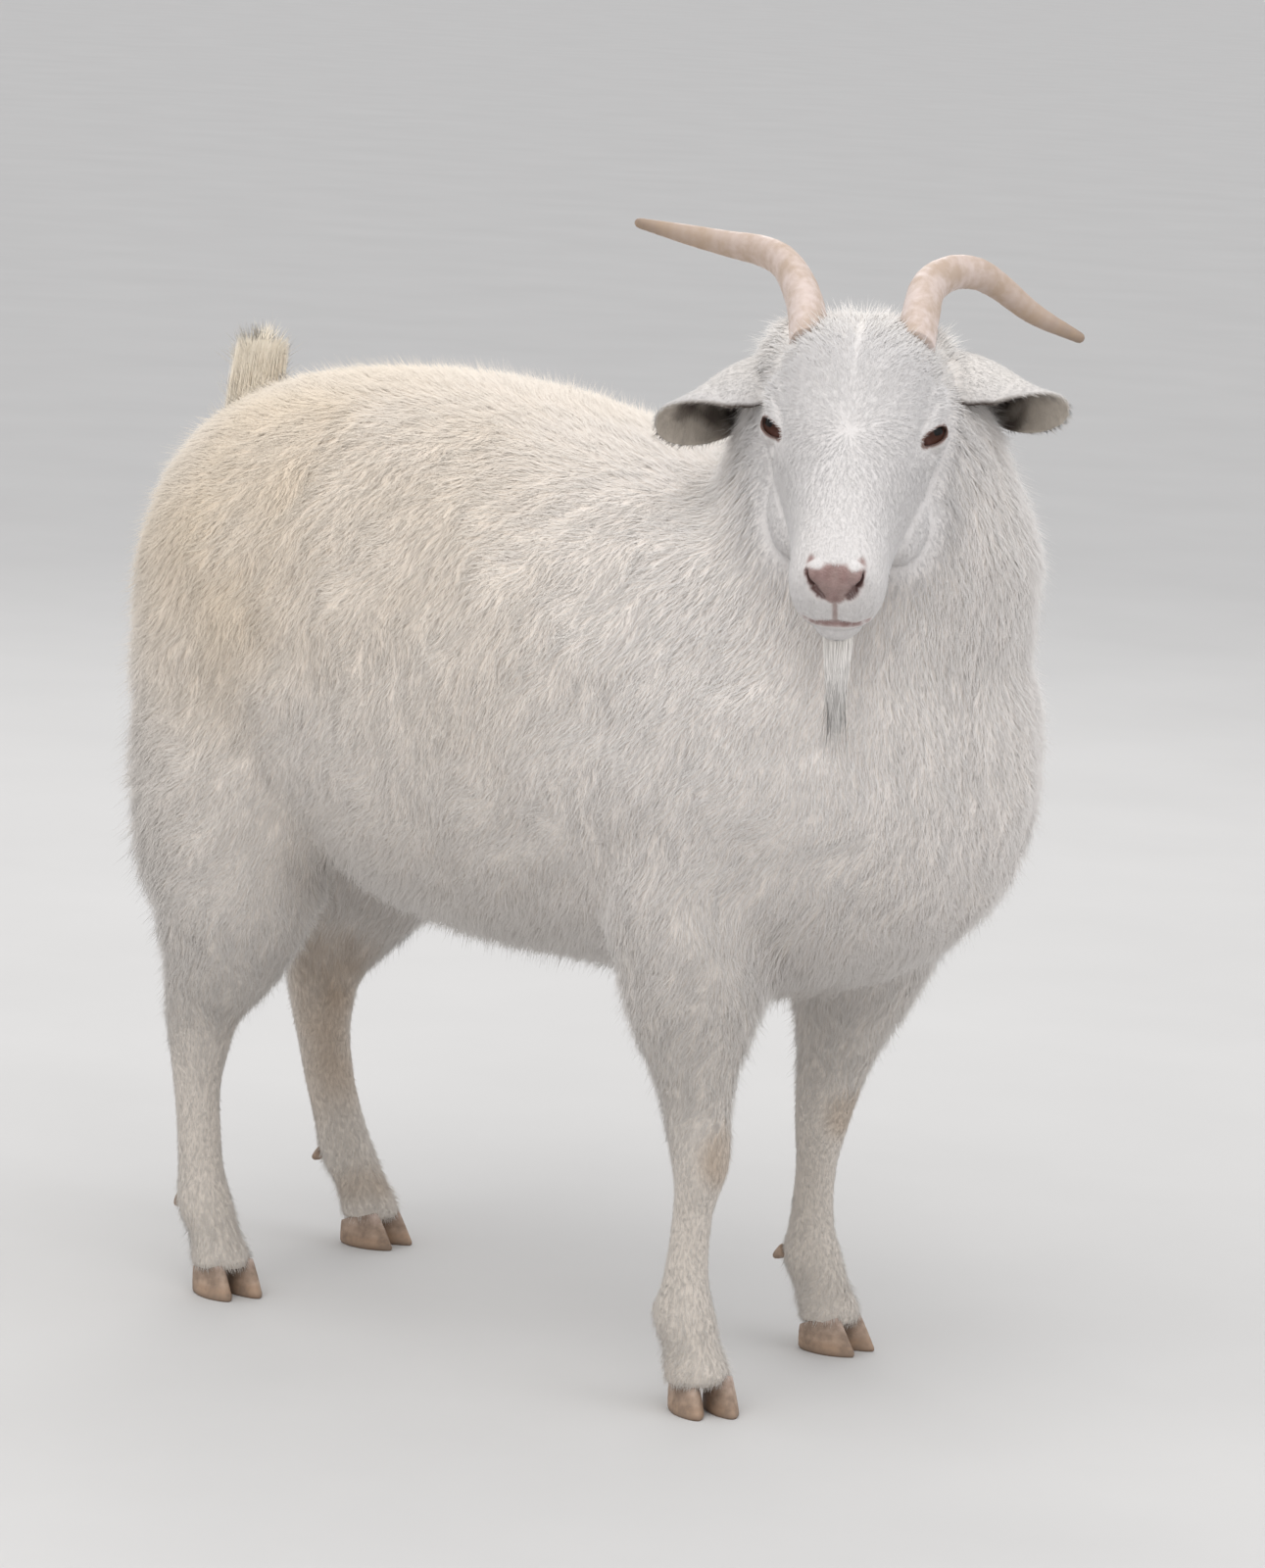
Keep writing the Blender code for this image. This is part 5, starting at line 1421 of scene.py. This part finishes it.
def make_claw(name, foot, side, home, draw):
    """One half of a cloven hoof: flat sole, straight inner wall, raked toe, lower heel, lines of growth."""
    rings = []
    wear = draw.normal(0, CLAW_WEAR, CLAW_SIDES)
    levels = np.concatenate([[0, 0.03], np.linspace(0.08, 0.96, CLAW_LEVELS), [0.99, 1.0]])
    for i, t in enumerate(levels):
        shrink = 1 - CLAW_SHRINK * t**1.4
        line = 1 + CLAW_LINE * math.sin(t * 26 + draw.uniform(-0.5, 0.5))
        edge = CLAW_EDGES.get(round(float(t), 2), line)
        length, width = CLAW_LENGTH / 2 * shrink * edge, CLAW_WIDTH / 2 * shrink * edge
        ring = []
        for k, (x, y, _) in enumerate(oval((0, 0, 0), (1, 0, 0), (0, 1, 0), CLAW_SIDES)):
            heel = CLAW_HEEL_DROP * t * (1 - x) / 2
            across = y * width * (1 - CLAW_TOE_TAPER * max(x, 0) ** 2)
            if y < 0:
                across *= CLAW_INNER
            height = t * (CORONET - GAP) * (1 - heel) + (wear[k] if 0 < i < 4 else 0)
            rake = CLAW_RAKE * t * (1 - 0.75 * max(-x, 0))
            ring.append((x * length - rake, side * (CLAW_SPREAD + across), max(height, 0)))
        rings.append(ring)
    claw = loft(rings)
    bmesh.ops.transform(claw, matrix=foot_frame(foot), verts=claw.verts)
    claw = add_object(name, claw, home)
    put_values(claw, "growth", points_of(claw.data)[:, 2] / CORONET)
    shade_smooth(claw)
    return claw


def make_dewclaw(name, foot, side, home):
    """A small blunt horn behind the fetlock."""
    radius, length = DEWCLAW
    rings = [
        oval((0, 0, (t - 0.5) * length), (radius * wide, 0, 0), (0, radius * wide, 0), DEWCLAW_SIDES)
        for t, wide in DEWCLAW_PROFILE
    ]
    shape = loft(rings)
    x, y, z, deep, _ = LEGS[foot][FETLOCK]
    turn = Matrix.Rotation(math.radians(FEET[foot][2]), 4, "Z")
    tilt = Matrix.Rotation(math.radians(DEWCLAW_TILT), 4, "Y")
    behind = Matrix.Translation((DEWCLAW_SINK - deep, side * DEWCLAW_SPREAD, 0))
    bmesh.ops.transform(shape, matrix=Matrix.Translation((x, y, z)) @ turn @ behind @ tilt, verts=shape.verts)
    dewclaw = add_object(name, shape, home)
    put_values(dewclaw, "growth", np.full(len(dewclaw.data.vertices), 0.4))
    shade_smooth(dewclaw)
    return dewclaw


def make_eye(name, side, home):
    """An eyeball. Its map holds the angles from the way it looks: along the pupil, then across it."""
    centre, axis, slit = (np.array(mirrored(row, side)) for row in (EYE, EYE_AXIS, EYE_SLIT))
    eye = add_object(name, ellipsoid((0, 0, 0), (EYE_RADIUS,) * 3, 64), home)
    axis = unit(axis)
    along = unit(slit - np.dot(slit, axis) * axis)
    across = np.cross(axis, along)
    out = unit(points_of(eye.data))
    angle = np.arccos(np.clip(out @ axis, -1, 1)) / (2 * np.pi)
    flat = unit(np.stack([out @ along, out @ across], axis=1))
    spots = 0.5 + flat * angle[:, None]
    corners = np.empty(len(eye.data.loops), np.int32)
    eye.data.loops.foreach_get("vertex_index", corners)
    eye.data.uv_layers.new(name="gaze").data.foreach_set("uv", spots[corners].astype(np.float32).ravel())
    eye.data.transform(head_frame() @ Matrix.Translation(centre))
    shade_smooth(eye)
    return eye


# --- materials ---


def add_node(tree, kind, inputs=(), **settings):
    """A shader node with settings, and its inputs by name or place: values, or sockets to link from."""
    node = tree.nodes.new(kind)
    for name, value in settings.items():
        setattr(node, name, value)
    for name, value in dict(inputs).items():
        if isinstance(value, bpy.types.NodeSocket):
            tree.links.new(value, node.inputs[name])
        else:
            node.inputs[name].default_value = value
    return node


def new_group(name, inputs, outputs):
    """An empty node group with these sockets, and the sockets inside it to read from and link to."""
    group = bpy.data.node_groups.new(name, "ShaderNodeTree")
    for socket, kind in inputs:
        group.interface.new_socket(socket, in_out="INPUT", socket_type=kind)
    for socket, kind in outputs:
        group.interface.new_socket(socket, in_out="OUTPUT", socket_type=kind)
    return group, group.nodes.new("NodeGroupInput").outputs, group.nodes.new("NodeGroupOutput").inputs


def ramp(tree, value, stops):
    """A colour ramp with these stops: place and colour."""
    node = add_node(tree, "ShaderNodeValToRGB", {"Fac": value})
    elements = node.color_ramp.elements
    while len(elements) < len(stops):
        elements.new(0.5)
    for element, (place, colour) in zip(elements, stops):
        element.position = place
        element.color = (*colour, 1)
    return node.outputs["Color"]


def math_node(tree, operation, *values):
    return add_node(tree, "ShaderNodeMath", dict(enumerate(values)), operation=operation).outputs[0]


def plus(tree, first, second):
    return math_node(tree, "ADD", first, second)


def times(tree, first, second):
    return math_node(tree, "MULTIPLY", first, second)


def noise(tree, spot, scale, detail):
    return add_node(tree, "ShaderNodeTexNoise", {"Vector": spot, "Scale": scale, "Detail": detail}).outputs["Fac"]


def mix_node(tree, blend, share, first, second):
    inputs = {"Factor": share, 6: first, 7: second}
    return add_node(tree, "ShaderNodeMix", inputs, data_type="RGBA", blend_type=blend).outputs[2]

def hair_group():
    """Streaks of short hair that lies down: tints a colour, darker where the hairs lie low, and gives the height of
    the hairs.
    """
    sockets = (("Colour", "NodeSocketColor"), ("Hairs", "NodeSocketFloat"), ("Contrast", "NodeSocketFloat"))
    outputs = (("Colour", "NodeSocketColor"), ("Height", "NodeSocketFloat"))
    group, given, out = new_group("hair streaks", sockets, outputs)
    spot = add_node(group, "ShaderNodeTexCoord").outputs["Object"]
    drawn = add_node(group, "ShaderNodeMapping", {"Vector": spot, "Scale": (1.0, 1.0, 0.35)}).outputs[0]
    fine = noise(group, drawn, given["Hairs"], 3.0)
    fine.node.inputs["Roughness"].default_value = 0.65
    height = plus(group, fine, times(group, noise(group, spot, 34.0, 2.0), 0.35))
    # darker where the streaks lie low: random tone, and painted shade between the hairs
    tone = ramp(group, times(group, height, 0.74), ((0.30, (0.62, 0.58, 0.53)), (0.62, (1.0, 1.0, 1.0))))
    group.links.new(mix_node(group, "MULTIPLY", given["Contrast"], given["Colour"], tone), out["Colour"])
    group.links.new(height, out["Height"])
    return group


def keratin_group():
    """Lines of growth across horn and hoof, and worn, dusty patches."""
    sockets = [(name, "NodeSocketFloat") for name in ("Growth", "Lines", "Dust")]
    outputs = [(name, "NodeSocketFloat") for name in ("Lines", "Wear", "Height")]
    group, given, out = new_group("keratin", sockets, outputs)
    spot = add_node(group, "ShaderNodeTexCoord").outputs["Object"]
    grain, blots = noise(group, spot, 260.0, 4.0), noise(group, spot, 70.0, 3.0)
    phase = plus(group, times(group, given["Growth"], given["Lines"]), times(group, blots, 2.6))
    lines = math_node(group, "MULTIPLY_ADD", math_node(group, "SINE", phase), 0.5, 0.5)
    height = plus(group, times(group, lines, 0.5), times(group, grain, 0.6))
    mottle = plus(group, blots, times(group, grain, 0.4))
    patches = add_node(group, "ShaderNodeMapRange", {"Value": mottle, "From Min": 0.56, "From Max": 0.86}).outputs[0]
    for name, value in (("Lines", lines), ("Wear", times(group, patches, given["Dust"])), ("Height", height)):
        group.links.new(value, out[name])
    return group


def place_group(tree, group, inputs):
    return add_node(tree, "ShaderNodeGroup", inputs, node_tree=group).outputs


def new_material(name, **constants):
    """A material with its Principled shader, whose constants are set on its own sockets."""
    material = bpy.data.materials.new(name)
    material.use_nodes = True
    shader = material.node_tree.nodes["Principled BSDF"]
    for socket, value in constants.items():
        shader.inputs[socket.replace("_", " ")].default_value = value
    return material, material.node_tree, shader


def read_attribute(tree, name, output):
    return add_node(tree, "ShaderNodeAttribute", attribute_name=name).outputs[output]


def bump(tree, shader, height, strength, distance):
    node = add_node(tree, "ShaderNodeBump", {"Height": height, "Strength": strength, "Distance": distance})
    tree.links.new(node.outputs[0], shader.inputs["Normal"])


def coat_material(name, hair, contrast, hairs):
    """The coat: the colours of its tufts, with fine streaks."""
    material, tree, shader = new_material(
        name, Roughness=0.82, Sheen_Weight=0.22, Sheen_Roughness=0.45, Specular_IOR_Level=0.28
    )
    colour = read_attribute(tree, "hair_colour", "Color")
    streaks = place_group(tree, hair, {"Colour": colour, "Hairs": hairs, "Contrast": contrast})
    tree.links.new(streaks["Colour"], shader.inputs["Base Color"])
    bump(tree, shader, streaks["Height"], 0.25, 0.0006)
    return material


def skin_material(hair):
    """Short hair over the skin, and the bare pink of nose, lips and lids."""
    material, tree, shader = new_material(
        "goat skin", Sheen_Weight=0.18, Sheen_Roughness=0.5, Specular_IOR_Level=0.35
    )
    colour = read_attribute(tree, "hair_colour", "Color")
    bare = read_attribute(tree, "bare", "Fac")
    furred = math_node(tree, "SUBTRACT", 1.0, bare)
    streaks = place_group(tree, hair, {"Colour": colour, "Hairs": 620.0, "Contrast": times(tree, furred, 0.28)})
    spot = add_node(tree, "ShaderNodeTexCoord").outputs["Object"]
    pores = add_node(tree, "ShaderNodeTexVoronoi", {"Vector": spot, "Scale": 620.0}).outputs["Distance"]
    tone = ramp(tree, noise(tree, spot, 150.0, 3.0), ((0.35, (0.80, 0.72, 0.70)), (0.65, (1.06, 1.0, 1.0))))
    tinted = mix_node(tree, "MULTIPLY", times(tree, bare, 0.8), streaks["Colour"], tone)
    tree.links.new(tinted, shader.inputs["Base Color"])
    tree.links.new(math_node(tree, "MULTIPLY_ADD", bare, -0.26, 0.82), shader.inputs["Roughness"])
    grain = times(tree, pores, times(tree, bare, 0.9))
    bump(tree, shader, plus(tree, times(tree, streaks["Height"], furred), grain), 0.6, 0.0008)
    return material


def keratin_material(name, keratin, looks):
    """Horn or hoof: its colours by growth, with darker lines and worn patches that are rougher too."""
    material, tree, shader = new_material(name, Specular_IOR_Level=looks["shine"])
    growth = read_attribute(tree, "growth", "Fac")
    marks = place_group(tree, keratin, {"Growth": growth, "Lines": looks["lines"], "Dust": looks["dust"]})
    colour = ramp(tree, growth, looks["colours"])
    for blend, mark in (("MULTIPLY", "Lines"), ("MIX", "Wear")):
        share, tone = looks[mark]
        colour = mix_node(tree, blend, times(tree, marks[mark], share), colour, (*tone, 1))
    tree.links.new(colour, shader.inputs["Base Color"])
    rougher, rough = looks["rough"]
    tree.links.new(plus(tree, times(tree, marks["Wear"], rougher), rough), shader.inputs["Roughness"])
    bump(tree, shader, marks["Height"], looks["bump"], 0.0005)
    return material


def eye_material():
    """Reddish brown iris, darkened in part as painted shade, with a broad dark pupil that also stands for painted
    shade under the upper lid, dark rim, and a wet surface.
    """
    material, tree, shader = new_material(
        "goat eye", Roughness=0.30, Coat_Weight=0.10, Coat_Roughness=0.05, IOR=1.33, Specular_IOR_Level=0.15
    )
    spot = add_node(tree, "ShaderNodeUVMap", uv_map="gaze").outputs[0]
    x, y, _ = add_node(tree, "ShaderNodeSeparateXYZ", {"Vector": spot}).outputs
    sides = [math_node(tree, "SUBTRACT", value, 0.5) for value in (x, y)]

    def summed(values, power):
        powers = [math_node(tree, "POWER", math_node(tree, "ABSOLUTE", value), power) for value in values]
        return plus(tree, *powers)

    moved = add_node(tree, "ShaderNodeMapping", {"Vector": spot, "Location": (-0.5, -0.5, 0.0)}).outputs[0]
    streaks = math_node(tree, "SUBTRACT", noise(tree, moved, 90.0, 4.0), 0.5)
    reach = plus(tree, math_node(tree, "SQRT", summed(sides, 2.0)), times(tree, streaks, 0.012))
    pupil = summed([math_node(tree, "DIVIDE", value, half) for value, half in zip(sides, PUPIL_AND_LID_SHADE)], 4.0)
    fade = {"Value": pupil, "From Min": 0.8, "From Max": 1.3, "To Min": 1.0, "To Max": 0.0}
    opening = add_node(tree, "ShaderNodeMapRange", fade).outputs[0]
    # the broad dark pupil, also painted shade under the upper lid
    colour = mix_node(tree, "MIX", opening, ramp(tree, reach, IRIS_SHADED_COLOURS), (0.006, 0.005, 0.005, 1))
    tree.links.new(colour, shader.inputs["Base Color"])
    return material


def floor_material():
    material, tree, shader = new_material("studio floor", Roughness=0.85, Specular_IOR_Level=0.2)
    spot = add_node(tree, "ShaderNodeTexCoord").outputs["Object"]
    mottle = noise(tree, spot, 3.0, 5.0)
    low, high = (tuple(value * share for value in FLOOR_COLOUR) for share in (0.975, 1.02))
    tree.links.new(ramp(tree, mottle, ((0.3, low), (0.7, high))), shader.inputs["Base Color"])
    return material


# --- studio ---


def make_floor():
    shape = bmesh.new()
    bmesh.ops.create_circle(shape, cap_ends=True, segments=96, radius=FLOOR_RADIUS)
    floor = add_object("studio_floor", shape, bpy.context.scene.collection)
    floor.data.materials.append(floor_material())


def add_light(name, place, size, power, colour):
    light = bpy.data.lights.new(name, "AREA")
    light.shape = "DISK"
    light.size = size
    light.energy = power
    light.color = colour
    obj = bpy.data.objects.new(name, light)
    obj.location = place
    obj.rotation_euler = (Vector(LIGHT_AIM) - Vector(place)).to_track_quat("-Z", "Y").to_euler()
    bpy.context.scene.collection.objects.link(obj)


def light_studio():
    world = bpy.data.worlds.new("studio")
    world.use_nodes = True
    sky = world.node_tree.nodes["Background"]
    sky.inputs["Color"].default_value = (*WORLD_COLOUR, 1)
    sky.inputs["Strength"].default_value = WORLD_STRENGTH
    bpy.context.scene.world = world
    bpy.context.scene.view_settings.view_transform = "Standard"
    for row in LIGHTS:
        add_light(*row)


def place_camera(offset):
    """The photograph's view: its lens, its place and its way of looking."""
    camera = bpy.data.cameras.new("photo_view")
    camera.sensor_fit = "HORIZONTAL"
    camera.sensor_width = SENSOR
    camera.lens = SENSOR * CAMERA_FOCUS / PHOTO_WIDTH
    camera.clip_end = 300
    obj = bpy.data.objects.new("photo_view", camera)
    right, up, back = (Vector(row).normalized() for row in CAMERA_AXES)
    turn = Matrix((right, up, back)).transposed().to_4x4()
    obj.matrix_world = Matrix.Translation(Vector(CAMERA) + offset) @ turn
    bpy.context.scene.collection.objects.link(obj)
    bpy.context.scene.camera = obj


# --- the goat ---


def make_skin(home):
    """One skin for trunk, neck, legs, head and ears, with what the coat needs to know of it."""
    head, lines = make_head(home)
    ears = [make_ear(name, home) for name in EARS]
    trees = {}
    for obj in (head, *ears):
        obj.data.transform(head_frame())
    trees["head"] = tree_of(head)
    both = bmesh.new()
    for ear in ears:
        both.from_mesh(ear.data)
    trees["ears"] = BVHTree.FromBMesh(both)
    both.free()
    skin = make_body(home)
    boolean(skin, head, "UNION")
    for ear in ears:
        boolean(skin, ear, "UNION")
    skin.name = "skin"
    soften_seams(skin, trees)
    shade_smooth(skin)
    return skin, trees, lines


def soften_seams(skin, trees):
    """Smooths the joins of head and neck, and the rims of the lids."""
    places = points_of(skin.data)
    near_head = share_near(trees["head"], places, *EDGES["join"])
    on_head = share_near(trees["head"], places, *EDGES["seam"])
    in_face = in_head(places)
    join = near_head * (1 - on_head)
    off_ears = 1 - share_near(trees["ears"], places, *EDGES["off_ears"])
    behind = join + 0.6 * (1 - ease(in_face[:, 0], -0.02, 0.02)) * near_head * off_ears
    rims = (1 - ease(lid_reach(in_face), 1.1, 1.5)) * on_head * ease(beside_eye(in_face)[:, 0], 0.004, 0.008)
    for name, shares, rounds in (("join", behind, JOIN_SMOOTHING), ("rims", rims, RIM_SMOOTHING)):
        group = skin.vertex_groups.new(name=name)
        for i in np.flatnonzero(shares > 0.01):
            group.add([int(i)], float(min(shares[i], 1.0)), "REPLACE")
        modify(skin, "SMOOTH", factor=0.5, iterations=rounds, vertex_group=name)


def dress(obj, material, offset, nodes=()):
    """Gives a finished piece its place, material and role."""
    obj.data.transform(Matrix.Translation(offset))
    obj.data.materials.clear()
    obj.data.materials.append(material)
    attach(obj, "root")
    if nodes:
        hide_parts(*nodes)


def find_offset():
    """How far the solids' frame lies from the goat's own, from the place of an eyeball."""
    low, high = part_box("eye_l")
    return (low + high) / 2 - head_frame() @ Vector(EYE)


def main():
    offset = find_offset()
    home = new_collection("goat")
    place_camera(offset)
    light_studio()
    make_floor()
    hair, keratin = hair_group(), keratin_group()
    skin, trees, lines = make_skin(home)
    facts = Skin(skin.data, trees, lines)
    put_colours(skin.data, "hair_colour", facts.colours)
    put_values(skin, "bare", facts.bare)
    draw = np.random.default_rng(SEED)
    coat = part_coat(grow_coat(facts, draw), home)
    beard, brush = grow_beard(home, draw), grow_tail(home, draw)
    dress(skin, skin_material(hair), offset, FLESH)
    long_hair = coat_material("goat coat", hair, 0.10, 240.0)
    short_hair = coat_material("goat face hair", hair, 0.06, 420.0)
    for piece in coat:
        kind = piece.name.split("_")[1]
        slot = {"head": "face", "crown": "face", "ears": "ear", "tail": "tail"}.get(kind, "coat")
        dress(piece, short_hair if slot in ("face", "ear") else long_hair, offset)
    dress(beard, long_hair, offset, ["beard"])
    dress(brush, long_hair, offset, ["tail"])
    horn = keratin_material("goat horn", keratin, HORN_LOOKS)
    hoof = keratin_material("goat hoof", keratin, HOOF_LOOKS)
    eye = eye_material()
    for name in HORNS:
        dress(make_horn(name, home), horn, offset, [name])
    for name, side in (("eye_l", 1), ("eye_r", -1)):
        dress(make_eye(name, side, home), eye, offset, [name])
    for foot in FEET:
        for word, side in (("left", 1), ("right", -1)):
            node = f"{foot}_{word}"
            dress(make_claw(f"hoof_{node}", foot, side, home, draw), hoof, offset, [f"claw_{node}"])
            dress(make_dewclaw(f"spur_{node}", foot, side, home), hoof, offset, [f"dewclaw_{node}"])


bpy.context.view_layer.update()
main()
